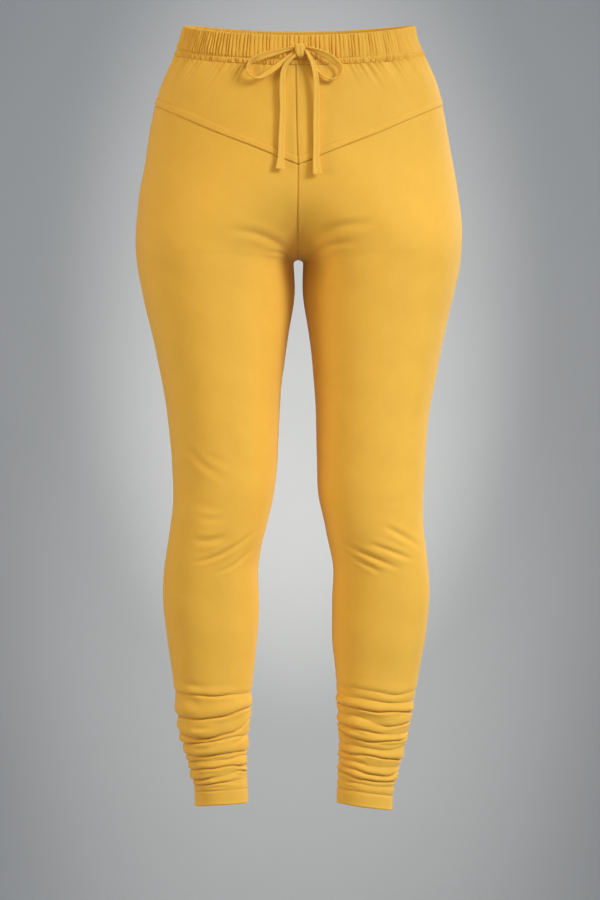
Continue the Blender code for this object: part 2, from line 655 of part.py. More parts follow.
def build():
    for leftover in list(bpy.data.objects):
        bpy.data.objects.remove(leftover, do_unlink=True)
    waistband()
    for side, word in ((RIGHT, "right"), (LEFT, "left")):
        yoke_panel("yoke_front_" + word, side)
        leg_panel("leg_front_" + word, side, "front", yoke_seam)
        leg_panel("leg_back_" + word, side, "back", panel_top)
    knot()
    tape("drawstring_loop_right", LOOP_RIGHT)
    tape("drawstring_loop_left", LOOP_LEFT)
    tape("drawstring_tail_right", TAIL_RIGHT)
    tape("drawstring_tail_left", TAIL_LEFT)


build()
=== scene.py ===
# %% [markdown]
# # Churidar pants
#
# These are churidar pants in a matt cotton stretch knit, worn: an elastic waistband gathered into small
# upright pleats, a drawstring tied in a bow, a V-shaped yoke, and legs cut longer than the wearer's, so
# that the spare cloth stacks in rings at the ankles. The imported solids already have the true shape. This
# lesson dresses each of them in finer cloth that follows the same form, and adds the sewing, the
# materials and the studio.
#
# The script begins with the frame. Every place below is in metres, in the frame's own axes: the wearer
# faces -Y, the wearer's left is +X, +Z is up, and the origin is the middle of the waist opening.

# %% Load the frame
import math

import bpy
import numpy as np
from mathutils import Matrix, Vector
from mathutils.bvhtree import BVHTree


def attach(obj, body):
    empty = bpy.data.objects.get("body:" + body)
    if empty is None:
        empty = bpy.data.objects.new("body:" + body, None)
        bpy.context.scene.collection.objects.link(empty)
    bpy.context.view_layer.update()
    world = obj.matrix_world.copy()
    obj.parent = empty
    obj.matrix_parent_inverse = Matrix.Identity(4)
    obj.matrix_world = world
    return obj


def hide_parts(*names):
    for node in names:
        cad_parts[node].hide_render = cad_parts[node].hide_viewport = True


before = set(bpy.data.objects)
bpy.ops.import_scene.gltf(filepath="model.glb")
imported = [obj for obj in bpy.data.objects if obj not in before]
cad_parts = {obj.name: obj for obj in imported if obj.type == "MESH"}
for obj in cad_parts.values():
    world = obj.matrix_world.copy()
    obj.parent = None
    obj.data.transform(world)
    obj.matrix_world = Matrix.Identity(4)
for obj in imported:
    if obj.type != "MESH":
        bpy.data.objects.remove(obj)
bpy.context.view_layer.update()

MM = 0.001
print("solids in the frame:", len(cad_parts))

# %% [markdown]
# ## The camera
#
# A camera level with the middle of the pants shows their length with no tilt. It stands 3.6 m away with a
# long lens, as in a studio, so that the legs hardly narrow towards the floor. The lens follows from the
# height that the picture has to take in.

# %% Camera
CAMERA_AWAY = 3.6
CAMERA_LEVEL = -0.4908
CAMERA_ASIDE = 0.002
PICTURE_HEIGHT = 1.08           # height of the picture where the pants are


def select_nothing():
    """Leaves edit mode and deselects everything, as each operator acts on all that is selected."""
    if bpy.context.object and bpy.context.object.mode != "OBJECT":
        bpy.ops.object.mode_set(mode="OBJECT")
    bpy.ops.object.select_all(action="DESELECT")


def select_only(piece):
    """Makes one piece the only one that the next operators act on."""
    select_nothing()
    bpy.context.view_layer.objects.active = piece
    piece.select_set(True)


select_nothing()
bpy.ops.object.camera_add(
    location=(CAMERA_ASIDE, -CAMERA_AWAY, CAMERA_LEVEL), rotation=(math.radians(90), 0, 0)
)
camera = bpy.context.object
camera.name = "studio_camera"
camera.data.sensor_fit = "AUTO"
camera.data.lens = camera.data.sensor_width * CAMERA_AWAY / PICTURE_HEIGHT
bpy.context.scene.camera = camera
print("lens:", round(camera.data.lens, 1), "mm")

# %% [markdown]
# ## The form that all the cloth lies on
#
# Pants are tubes, and a tube can be described by a short table of sections: how far each one reaches to
# the outside, the inside, the front and the back. A smooth curve through the rows gives the section at
# any level. Above the crotch the two tubes share one torso, so each half ends at the centre plane. Cloth
# could also be shrunk onto the solids, but their facets would show through, and the seams would drift.
# The functions below are those of the solids, so the dressed pants keep the solids' sizes.

# %% Sections
CLOTH = 1.5 * MM                # thickness of the knit
SEAM_GAP = 0.02 * MM            # clear space between pieces that are sewn together
STRIP_BOTTOM = -17.0 * MM       # lower edge of the waistband at the sides
FRONT_DIP = 25.0 * MM           # how far the band drops to the centre front
BACK_LIFT = 6.0 * MM            # how far it rises to the centre back
CROTCH = -262.5 * MM
RISE_BLEND = 150.0 * MM         # height over which the legs part from one torso section
CLEFT_SPREAD = 60.0 * MM        # how gently the hollow between the legs runs out over the thighs
CLEFT = 16.0 * MM               # rounding next to the centre plane
ARCH = 4.5 * MM                 # round arch at the top of the gap between the legs
BUNCH = 0.02                    # how near the centre plane the columns are bunched
BUNCH_RISE = 30.0 * MM          # height over the crotch where the bunching is full
YOKE_LINE = (
    # across  level (mm)
    (0.0, -158.6), (0.03, -149.4), (0.061, -142.6), (0.1, -134.5), (0.144, -125.5), (0.19, -116.2),
    (0.232, -107.6), (0.28, -99.0), (0.33, -91.4), (0.37, -86.3), (0.404, -82.9), (0.45, -79.4),
    (0.5, -76.8),
)
RIGHT, LEFT = -1, 1

SECTIONS = (
    # level  right: outer inner   left: outer inner   front   back   (mm)
    (30.0, 133.5, 0.0, 138.5, 0.0, -96.0, 95.0),
    (0.0, 140.0, 0.0, 143.0, 0.0, -98.5, 98.5),
    (-20.0, 149.5, 0.0, 152.5, 0.0, -101.0, 102.0),
    (-50.0, 163.5, 0.0, 166.0, 0.0, -106.0, 110.0),
    (-90.0, 175.0, 0.0, 175.5, 0.0, -111.0, 121.0),
    (-140.0, 183.5, 0.0, 184.5, 0.0, -115.0, 134.0),
    (-190.0, 192.0, 0.0, 193.5, 0.0, -116.0, 139.0),
    (-230.0, 195.5, 0.0, 197.0, 0.0, -114.0, 133.0),
    (-265.0, 194.0, 6.0, 194.5, 6.0, -110.5, 120.0),
    (-300.0, 187.5, 4.0, 187.5, 5.0, -106.5, 106.0),
    (-345.0, 177.0, 10.5, 176.5, 11.5, -101.5, 92.0),
    (-400.0, 165.0, 18.5, 165.5, 18.0, -95.0, 81.0),
    (-455.0, 156.0, 23.0, 155.5, 21.0, -88.5, 72.0),
    (-505.0, 151.5, 25.0, 152.0, 22.0, -82.0, 64.0),
    (-545.0, 149.5, 29.5, 149.5, 24.0, -77.0, 58.5),
    (-585.0, 153.5, 39.0, 150.0, 32.5, -71.0, 56.0),
    (-630.0, 160.5, 48.0, 155.5, 41.5, -62.0, 60.5),
    (-675.0, 162.5, 47.0, 157.0, 40.5, -54.0, 66.0),
    (-715.0, 158.0, 49.0, 152.5, 40.5, -48.0, 65.5),
    (-755.0, 152.5, 53.5, 145.5, 44.5, -41.5, 59.5),
    (-795.0, 145.5, 57.5, 138.0, 47.0, -36.5, 53.0),
    (-835.0, 139.5, 60.5, 130.5, 49.0, -31.5, 49.0),
    (-870.0, 130.5, 62.0, 122.0, 48.0, -28.0, 46.5),
    (-900.0, 125.0, 60.5, 114.5, 46.0, -26.0, 45.0),
    (-925.0, 124.5, 60.0, 113.5, 46.0, -25.5, 44.5),
)


def column(table, index):
    """One column of a table of rows."""
    return np.array([row[index] for row in table], dtype=float)


def curve_through(stations, values, places):
    """Smooth curve through the stations, read at the given places (Hermite, with averaged slopes)."""
    order = np.argsort(stations)
    knots = np.asarray(stations, dtype=float)[order]
    heights = np.asarray(values, dtype=float)[order]
    slopes = np.gradient(heights, knots)
    places = np.clip(places, knots[0], knots[-1])
    left = np.clip(np.searchsorted(knots, places) - 1, 0, len(knots) - 2)
    span = knots[left + 1] - knots[left]
    s = (places - knots[left]) / span
    rise = s * s * (3 - 2 * s)
    start = s * (1 - s) ** 2 * span * slopes[left]
    end = -s * s * (1 - s) * span * slopes[left + 1]
    return heights[left] * (1 - rise) + heights[left + 1] * rise + start + end


def section_sizes(side, levels):
    """Outer and inner reach, middle and half depth of one leg's sections at the given levels."""
    stations = column(SECTIONS, 0) * MM
    first = 1 if side == RIGHT else 3
    outer = curve_through(stations, column(SECTIONS, first) * MM, levels)
    parted = column(SECTIONS, first + 1) > 0
    inner = curve_through(stations[parted], column(SECTIONS, first + 1)[parted] * MM, levels)
    front = curve_through(stations, column(SECTIONS, 5) * MM, levels)
    back = curve_through(stations, column(SECTIONS, 6) * MM, levels)
    return outer, inner, (front + back) / 2, (back - front) / 2


print("sections:", len(SECTIONS), "from", SECTIONS[0][0], "to", SECTIONS[-1][0], "mm")

# %% [markdown]
# A section is drawn in four quarters that meet at its fullest line. Near the crotch the inner quarters
# are hollowed towards the centre plane until the tube closes into a leg. One formula for the whole form
# keeps the crotch smooth, where joined tubes would need a patch. `across` runs from the front edge (0)
# round the outside (0.5) to the back edge (1) of one half of the pants.

# %% Points and directions of the form
def seam_angle(depth):
    """Angle of half a seam gap, on a section of this half depth."""
    return 0.5 * SEAM_GAP / depth


def rise_share(height):
    """How far the two halves have parted, from one torso (0) to two legs (1)."""
    return (1 - np.clip(height, 0, 1)) ** 2


def hollow(inward, height):
    """Share of the depth that is lost between the fullest line (inward 0) and the centre plane (1)."""
    away = CLEFT_SPREAD / RISE_BLEND * (1 - inward)
    return inward * rise_share((height + np.hypot(height, away)) / 2)


def leg_section(side, levels):
    """The values that draw one half's section at each level."""
    outer, inner, middle, depth = section_sizes(side, levels)
    reach, near = np.hypot(outer, CLEFT), np.hypot(inner, CLEFT)
    height = (levels - CROTCH) / RISE_BLEND
    drop = np.clip((CROTCH - levels) / ARCH, 0, 1)
    arch = np.hypot(inner * np.sqrt(1 - (1 - drop) ** 2), CLEFT)
    risen = np.clip(height, 0, 1)
    fullest = CLEFT + ((reach + near) / 2 - CLEFT) * (1 - risen**2 * (3 - 2 * risen))
    meet = rise_share(height)
    return {
        "fullest": fullest,
        "inner_width": fullest - np.where(levels > CROTCH, CLEFT, arch),
        "outer_width": reach - fullest,
        "height": height,
        "meet": meet,
        "start": np.maximum(np.where(levels > CROTCH, np.arccos(meet), 0.0), seam_angle(depth)),
        "middle": middle,
        "depth": depth,
    }


def bunched(across, levels):
    """Share of the turn at each place. Over the crotch it grows slowly next to the centre plane, so that
    equal steps stay nearly equal distances on the cloth."""
    bunch = BUNCH * np.clip((levels - CROTCH) / BUNCH_RISE, 0, 1)
    from_edge = np.minimum(across, 1 - across)
    turn = from_edge * np.abs(from_edge) / (np.abs(from_edge) + bunch + 1e-9) * (0.5 + bunch) / 0.5
    return np.where(across <= 0.5, turn, 1 - turn)


def leg_points(side, across, levels, nudge=0.0):
    """Points of the form. `nudge` moves a column by that many half seam gaps towards the back."""
    form = leg_section(side, levels)
    angle = form["start"] + (2 * math.pi - 2 * form["start"]) * bunched(across, levels)
    angle = angle + nudge * seam_angle(form["depth"])
    cosine = np.cos(angle)
    inward = np.clip(cosine / np.maximum(form["meet"], 1e-6), 0, 1)
    width = np.where(cosine > 0, form["inner_width"] * inward, form["outer_width"] * cosine)
    lost = np.where(cosine > 0, hollow(inward, form["height"]), -cosine)
    x = np.sqrt(np.maximum((form["fullest"] - width) ** 2 - CLEFT**2, (0.5 * SEAM_GAP) ** 2))
    y = form["middle"] - form["depth"] * np.sqrt(1 - lost**2) * np.sign(np.sin(angle))
    return np.stack([side * x, y, levels], axis=-1)


def front_surface(x, level):
    """Y of the form's front at one place."""
    form = leg_section(RIGHT if x < 0 else LEFT, np.array([level]))
    width = form["fullest"] - math.hypot(x, CLEFT)
    inward = width / np.maximum(form["inner_width"], 1e-6)
    lost = np.where(width > 0, hollow(inward, form["height"]), width / form["outer_width"])
    return (form["middle"] - form["depth"] * np.sqrt(1 - lost**2))[0]


STEP_DOWN = 0.3 * MM            # short steps on the form that its outward directions come from
STEP_ROUND = 0.002


def skin_directions(side, across, levels):
    """Outward direction of the form at each point."""
    down = leg_points(side, across, levels - STEP_DOWN) - leg_points(side, across, levels + STEP_DOWN)
    around = leg_points(side, across + STEP_ROUND, levels) - leg_points(side, across - STEP_ROUND, levels)
    out = np.cross(down, around) * side
    at_centre = np.abs(leg_points(side, across, levels)[..., 0]) < SEAM_GAP
    out[at_centre, 0] = 0.0
    return out / np.linalg.norm(out, axis=-1, keepdims=True)


def waist_drop(across):
    """How far the band's lines sit above their side level, from front (0) to back (1)."""
    forward = np.cos(math.pi * across)
    even = (BACK_LIFT - FRONT_DIP) / 2
    odd = -(BACK_LIFT + FRONT_DIP) / 2
    return odd * forward + even * forward**2


def panel_top(across):
    """Upper edge of the yokes and the back legs, under the band."""
    return STRIP_BOTTOM - SEAM_GAP + waist_drop(across)


def yoke_seam(across):
    """Level of the seam between yoke and front leg."""
    return curve_through(column(YOKE_LINE, 0), column(YOKE_LINE, 1) * MM, across)


print("crotch at", round(CROTCH / MM, 1), "mm, yoke point at", YOKE_LINE[0][1], "mm")

# %% [markdown]
# ## Helpers that turn a flat piece of cloth into a worn one
#
# Every cloth piece starts as Blender's grid, like a piece of cloth on the cutting table. Its vertices are
# then moved to their places on the form, row by row, and its UV map is written in metres of cloth, so
# that the knit has the same size everywhere and follows the folds. Draping by simulation would also
# work, but it couldn't be told where each fold lies.

# %% Flat cloth and the way it is laid on the form
def flat_cloth(name, columns, rows):
    """A flat grid of cloth. Its first row of vertices is its lower edge."""
    select_nothing()
    bpy.ops.mesh.primitive_grid_add(x_subdivisions=columns, y_subdivisions=rows, size=1, calc_uvs=True)
    piece = bpy.context.object
    piece.name = piece.data.name = name
    return piece


def lengths_along(points, axis):
    """Distance along the rows (axis 1) or down the columns (axis 0) of a grid of points."""
    steps = np.linalg.norm(np.diff(points, axis=axis), axis=-1)
    start = np.zeros_like(np.take(steps, [0], axis=axis))
    return np.concatenate([start, np.cumsum(steps, axis=axis)], axis=axis)


def lay_on_form(piece, points):
    """Moves the grid's vertices to a grid of points, whose first row is the upper edge, and writes the UV
    map in metres of cloth from the middle of the piece."""
    mesh = piece.data
    rows, columns = points.shape[:2]
    assert rows * columns == len(mesh.vertices), (piece.name, rows, columns, len(mesh.vertices))
    mesh.vertices.foreach_set("co", points[::-1].astype(np.float32).ravel())
    across = lengths_along(points, 1)
    down = lengths_along(points, 0)
    uv = np.stack([across - across[:, -1:] / 2, -down], axis=-1)[::-1].reshape(-1, 2)
    corners = np.empty(len(mesh.loops), dtype=np.int32)
    mesh.loops.foreach_get("vertex_index", corners)
    mesh.uv_layers[0].uv.foreach_set("vector", uv[corners].astype(np.float32).ravel())
    mesh.update()


def edit(piece, *steps):
    """Runs edit-mode steps on all of a piece's mesh."""
    select_only(piece)
    bpy.ops.object.mode_set(mode="EDIT")
    bpy.ops.mesh.select_all(action="SELECT")
    for step in steps:
        step()
    bpy.ops.object.mode_set(mode="OBJECT")


def smooth(piece, angle=75):
    """Shades the piece smooth, but for edges that are sharper than the angle."""
    select_only(piece)
    bpy.ops.object.shade_smooth_by_angle(angle=math.radians(angle))


def give_thickness(piece, thickness=CLOTH):
    """Makes the sheet a wall, inwards from its outer face."""
    select_only(piece)
    wall = piece.modifiers.new("wall", "SOLIDIFY")
    wall.thickness = thickness
    wall.offset = -1
    bpy.ops.object.modifier_apply(modifier=wall.name)


def flat_area(piece):
    """Area of the piece's UV map, which is the area of its cloth."""
    uv = np.empty(len(piece.data.loops) * 2, dtype=np.float32)
    piece.data.uv_layers[0].uv.foreach_get("vector", uv)
    quads = uv.reshape(-1, 4, 2)
    a, b = quads[:, 2] - quads[:, 0], quads[:, 3] - quads[:, 1]
    return float(np.abs(a[:, 0] * b[:, 1] - a[:, 1] * b[:, 0]).sum() / 2)


PIECES = {}                     # every piece by name, for the materials and the body


def keep(piece):
    """Lists a finished piece."""
    PIECES[piece.name] = piece
    return piece


print("the cloth is", CLOTH / MM, "mm thick")

# %% [markdown]
# ## The drawstring
#
# The drawstring is a flat tape of the same cloth, 7.5 mm wide, tied in a bow whose loops stand off the
# band and whose tails hang free. A curve with a flat bevel would give a tape too, but its tilt is hard to
# control where it turns over. A tape keeps its width and rolls as it bends, so a route is a short table:
# where the middle of the tape is, how far it stands off the cloth, how far it has rolled, and how much
# its width is crushed near the knot. A grid as long as the tape is rolled into its flat section.

# %% Routes of the tape
TAPE_WIDTH = 7.5 * MM
TAPE_THICKNESS = 1.8 * MM
LOOP_RIGHT = (
    # x    level  stand  roll   width    (mm, mm, mm, degrees, share of the tape's width)
    (-4.2, -22.0, 6.0, 58.0, 0.50),
    (-11.5, -23.8, 6.4, 34.0, 0.65),
    (-22.0, -26.8, 6.9, 18.0, 0.86),
    (-34.3, -30.2, 7.6, 12.0, 1.04),
    (-47.0, -34.2, 8.0, 24.0, 1.08),
    (-56.2, -39.8, 8.2, 60.0, 1.04),
    (-59.6, -47.5, 8.2, 84.0, 0.92),
    (-55.4, -55.0, 8.0, 88.0, 0.90),
    (-47.0, -57.6, 7.6, 62.0, 1.00),
    (-36.0, -52.6, 6.9, 36.0, 1.00),
    (-23.3, -43.2, 5.8, 30.0, 0.92),
    (-12.5, -33.2, 4.3, 44.0, 0.64),
    (-4.9, -27.0, 3.9, 60.0, 0.45),
)
LOOP_LEFT = (
    # x    level  stand  roll   width
    (8.8, -21.8, 6.2, -66.0, 0.50),
    (14.5, -23.6, 6.8, -58.0, 0.75),
    (22.5, -26.8, 7.6, -38.0, 1.00),
    (32.5, -31.4, 8.2, -28.0, 1.10),
    (43.0, -38.8, 8.4, -34.0, 1.12),
    (49.6, -47.8, 8.2, -48.0, 1.05),
    (46.8, -56.6, 8.0, -66.0, 0.95),
    (37.0, -59.4, 7.0, -84.0, 0.90),
    (26.5, -53.6, 5.3, -78.0, 0.85),
    (17.6, -42.0, 4.2, -80.0, 0.62),
    (12.0, -33.2, 3.8, -80.0, 0.50),
    (9.0, -29.0, 3.8, -80.0, 0.42),
)
TAIL_RIGHT = (
    # x    level  stand  roll   width
    (-3.2, -31.2, 7.6, 44.0, 0.50),
    (-8.0, -35.2, 8.4, 36.0, 0.66),
    (-13.2, -41.0, 8.2, 28.0, 0.78),
    (-17.0, -50.5, 7.8, 18.0, 0.86),
    (-18.4, -68.0, 6.8, 12.0, 0.90),
    (-17.9, -92.0, 6.0, 8.0, 0.92),
    (-18.8, -115.0, 5.4, 6.0, 0.95),
    (-19.6, -136.0, 5.2, 4.0, 1.00),
    (-20.0, -150.0, 5.2, 4.0, 1.05),
    (-21.1, -164.5, 5.6, 4.0, 1.45),
)
TAIL_LEFT = (
    # x    level  stand  roll   width
    (9.0, -25.6, 9.6, 60.0, 0.55),
    (12.6, -31.6, 10.2, 42.0, 0.72),
    (16.4, -40.0, 10.0, 28.0, 0.82),
    (19.6, -51.0, 10.0, 18.0, 0.86),
    (21.2, -70.0, 8.4, 12.0, 0.90),
    (21.1, -92.0, 6.9, 8.0, 0.92),
    (20.8, -115.0, 6.2, 6.0, 0.95),
    (21.0, -138.0, 5.8, 4.0, 1.00),
    (20.7, -155.0, 5.8, 4.0, 1.05),
    (22.1, -170.4, 6.2, 4.0, 1.40),
)

# %% [markdown]
# The tape's section is a flat ring with round edges. Its faces are full near the edges, where the cloth
# is folded in, and hollow in the middle. Where the knot crushes the tape, its faces buckle into pleats
# along it. Only a quarter of the section is written down, and the rest is its mirror image.

# %% Tape
TAPE_RINGS = 140
TAPE_QUARTER = (
    # across the tape and through it, as shares of its half width and half thickness
    (0.0, 0.45), (0.28, 0.55), (0.48, 0.80), (0.62, 1.0), (0.74, 1.0), (0.84, 0.9), (0.93, 0.7), (1.0, 0.3),
)
BUCKLE_DEPTH = 1.1 * MM         # buckling of the tape's faces where it is crushed to nothing
BUCKLE_WAVES = 2.5              # half waves of it over the tape's width
TAPE_RIPPLE = 0.12 * MM         # slow unevenness along the tape


def tape_section():
    """The closed section, whose last point repeats the first."""
    quarter = np.array(TAPE_QUARTER)
    half = np.concatenate([quarter, quarter[::-1] * (1, -1)])
    return np.concatenate([half, half[-2:0:-1] * (-1, 1), half[:1]])


def tape_frame(route, steps):
    """The middle of the tape, its width and thickness directions and its share of width, step by step."""
    table = np.array(route)
    lengths = lengths_along(table[None, :, :2], 1)[0]
    places = lengths / lengths[-1]
    x, level, stand, roll, share = (curve_through(places, table[:, index], steps) for index in range(5))
    y = [front_surface(px * MM, pz * MM) for px, pz in zip(x, level)]
    path = np.stack([x * MM, np.array(y) - stand * MM, level * MM], axis=-1)
    along = np.gradient(path, axis=0)
    along /= np.linalg.norm(along, axis=1, keepdims=True)
    flat = np.cross(along, [0.0, -1.0, 0.0])
    flat /= np.linalg.norm(flat, axis=1, keepdims=True)
    lean = np.radians(roll)[:, None]
    width_way = flat * np.cos(lean) + np.cross(flat, along) * np.sin(lean)
    return path, width_way, np.cross(along, width_way), share


def tape(name, route):
    """A stretch of tape along a route, with its path and its length."""
    steps = np.linspace(0, 1, TAPE_RINGS + 1)
    path, width_way, thick_way, share = tape_frame(route, steps)
    wide, thick = tape_section().T
    half_width = TAPE_WIDTH / 2 * share[:, None]
    crushed = np.clip(1 - share, 0, 1)[:, None]
    buckle = BUCKLE_DEPTH * crushed * np.cos(BUCKLE_WAVES * math.pi * wide + 1.0)
    ripple = TAPE_RIPPLE * np.sin(steps * 37 + 1.3) * np.sin(steps * 11)
    rise = TAPE_THICKNESS / 2 * thick + buckle + ripple[:, None]
    points = (
        path[:, None]
        + width_way[:, None] * (half_width * wide)[..., None]
        + thick_way[:, None] * rise[..., None]
    )
    piece = flat_cloth(name, len(wide) - 1, TAPE_RINGS)
    lay_on_form(piece, points)
    edit(
        piece,
        lambda: bpy.ops.mesh.remove_doubles(threshold=1e-6),
        lambda: bpy.ops.mesh.fill_holes(sides=0),
        lambda: bpy.ops.mesh.normals_make_consistent(inside=False),
    )
    smooth(piece, 60)
    length = float(lengths_along(path[None], 1)[0, -1])
    print(name, "is", round(length * 1000, 1), "mm long")
    return keep(piece), path, length


# Each stretch of the drawstring: its solid, its route and what is at its far end.
cords = {
    "bow_loop_right": ("drawstring_loop_right", LOOP_RIGHT, "object"),
    "bow_loop_left": ("drawstring_loop_left", LOOP_LEFT, "object"),
    "bow_tail_right": ("drawstring_tail_right", TAIL_RIGHT, "bare"),
    "bow_tail_left": ("drawstring_tail_left", TAIL_LEFT, "bare"),
}
made_cords = {name: tape(name, route) for name, (_, route, _) in cords.items()}

# %% [markdown]
# The knot is the same tape wrapped once round the loops, crushed into a small rounded block with pleats
# that run up and over it. A real wrap could be another route of the tape, but its own layers would cut
# into each other. So a sphere is the start: its vertices are pulled into the rounded block, a little
# wider at the top than below, and then pleated.

# %% Knot
KNOT_PLACE = (2.3 * MM, -25.6 * MM)             # x and level of its middle
KNOT_HALF = (6.1 * MM, 4.6 * MM, 8.1 * MM)      # half its width, depth and height
KNOT_LIFT = 1.7 * MM            # how far its back stands off the form
KNOT_SQUARING = 0.62            # 1 leaves the sphere round, and less makes it a block
KNOT_FLARE = 0.10               # share by which it is wider at the top
KNOT_WAIST = 0.94               # share of the half width that is left at mid height
KNOT_FRONT_ROUND = 0.1          # how much its front draws back towards the top and the bottom
KNOT_SHOULDER = 0.5 * MM        # how far its sides are lower than its middle
KNOT_PLEATS = 6.82              # turn of the pleats' wave over the half width (radians)
KNOT_PLEAT_LEAN = 1.2           # and over the half height
KNOT_PLEAT_DEPTH = 0.6 * MM


def knot(name):
    """The wrapped block of the knot, seated on the band."""
    x, level = KNOT_PLACE
    half_wide, half_deep, half_high = KNOT_HALF
    back = front_surface(x, level) - KNOT_LIFT
    select_nothing()
    bpy.ops.mesh.primitive_uv_sphere_add(segments=96, ring_count=48, radius=1.0)
    piece = bpy.context.object
    piece.name = piece.data.name = name
    for vert in piece.data.vertices:
        wide, deep, high = (math.copysign(abs(v) ** KNOT_SQUARING, v) for v in vert.co)
        wave = math.sin(KNOT_PLEATS * wide + KNOT_PLEAT_LEAN * high)
        pleat = KNOT_PLEAT_DEPTH * wave * (1 - wide * wide)
        drawn_back = 1 - KNOT_FRONT_ROUND * max(0.0, -deep) * high * high
        vert.co = (
            x + wide * half_wide * (1 + KNOT_FLARE * high) * KNOT_WAIST,
            back - half_deep + deep * (half_deep + pleat) * drawn_back,
            level + high * (half_high - KNOT_SHOULDER * abs(wide) ** 3),
        )
    smooth(piece, 80)
    print(name, "faces", len(piece.data.polygons))
    return keep(piece)


knot("bow_knot")

# %% [markdown]
# ## Folds, creases and gathers
#
# Stacked cloth hangs over itself: each roll swells out, is fullest just above its lower crease, and tucks
# in under its own weight, while the roll below starts with a lip that catches the light. A simulation
# could stack cloth, but not with these rolls in these places, so they are drawn. Each row of a table is
# one crease round the leg, from the inseam (0) over the front (90) and the outside (180) to the back
# (270). Where its depth falls to nothing, the crease runs out. The first row is where the folds begin,
# and the last one is the hem's edge.

# %% Stacked folds of the ankles
RIGHT_FOLDS = (
    # turn, level, depth   (degrees, mm, mm)
    ((0, -768, 0.0), (90, -769, 0.0), (180, -767, 0.0), (270, -765, 0.0)),
    ((10, -781.0, 0.3), (54, -781.8, 0.7), (86, -782.9, 1.1), (117, -782.1, 1.3), (156, -780.3, 1.1),
     (210, -779.0, 0.4), (270, -779.0, 1.0), (330, -780.0, 0.4)),
    ((6, -798.3, 1.9), (42, -800.9, 2.4), (69, -806.0, 2.2), (108, -810.7, 1.7), (131, -809.7, 2.4),
     (175, -808.2, 3.0), (225, -801.0, 1.6), (270, -796.5, 2.4), (320, -796.5, 1.6)),
    ((19, -815.5, 1.8), (35, -821.8, 1.2), (69, -828.8, 1.3), (108, -833.6, 2.4), (136, -832.2, 3.3),
     (175, -826.3, 3.6), (225, -818.0, 1.8), (270, -814.0, 2.4), (325, -812.5, 1.6)),
    ((19, -832.3, 0.6), (49, -832.5, 0.8), (76, -834.9, 1.0), (120, -839.3, 2.8), (175, -840.7, 3.5),
     (225, -836.0, 1.6), (270, -833.0, 2.4), (320, -831.5, 1.7)),
    ((15, -850.7, 1.4), (39, -851.1, 1.4), (70, -851.6, 1.7), (109, -855.2, 2.5), (137, -855.0, 2.7),
     (175, -854.0, 2.6), (225, -851.0, 1.2), (270, -850.0, 1.9), (320, -849.5, 1.5)),
    ((10, -856.0, 0.6), (32, -855.9, 0.7), (73, -859.4, 0.8), (111, -861.3, 0.5), (145, -863.3, 1.5),
     (175, -863.6, 2.2), (225, -861.0, 1.2), (270, -860.0, 1.5), (320, -858.0, 0.8)),
    ((12, -868.8, 1.3), (39, -867.3, 1.6), (54, -866.6, 1.6), (86, -868.8, 1.3), (128, -871.5, 1.7),
     (175, -873.2, 2.2), (225, -870.0, 1.3), (270, -867.0, 1.8), (320, -866.5, 1.3)),
    ((1, -876.9, 1.1), (42, -873.7, 1.3), (60, -876.0, 0.5), (97, -880.9, 0.5), (128, -883.5, 2.3),
     (175, -885.3, 2.6), (225, -882.0, 1.1), (270, -879.0, 1.6), (320, -877.0, 1.1)),
    ((10, -884.0, 0.3), (55, -885.2, 0.7), (99, -888.1, 1.5), (137, -891.1, 1.6), (175, -892.5, 1.0),
     (225, -890.0, 0.8), (270, -888.0, 1.3), (320, -886.0, 0.7)),
    ((13, -896.3, 0.1), (57, -895.8, 0.1), (101, -896.6, 0.2), (167, -900.4, 0.2), (270, -898.5, 0.2)),
    ((17, -914.3, 0.0), (58, -913.8, 0.0), (102, -914.6, 0.0), (170, -918.4, 0.0), (225, -917.5, 0.0),
     (270, -916.5, 0.0), (320, -915.0, 0.0)),
)
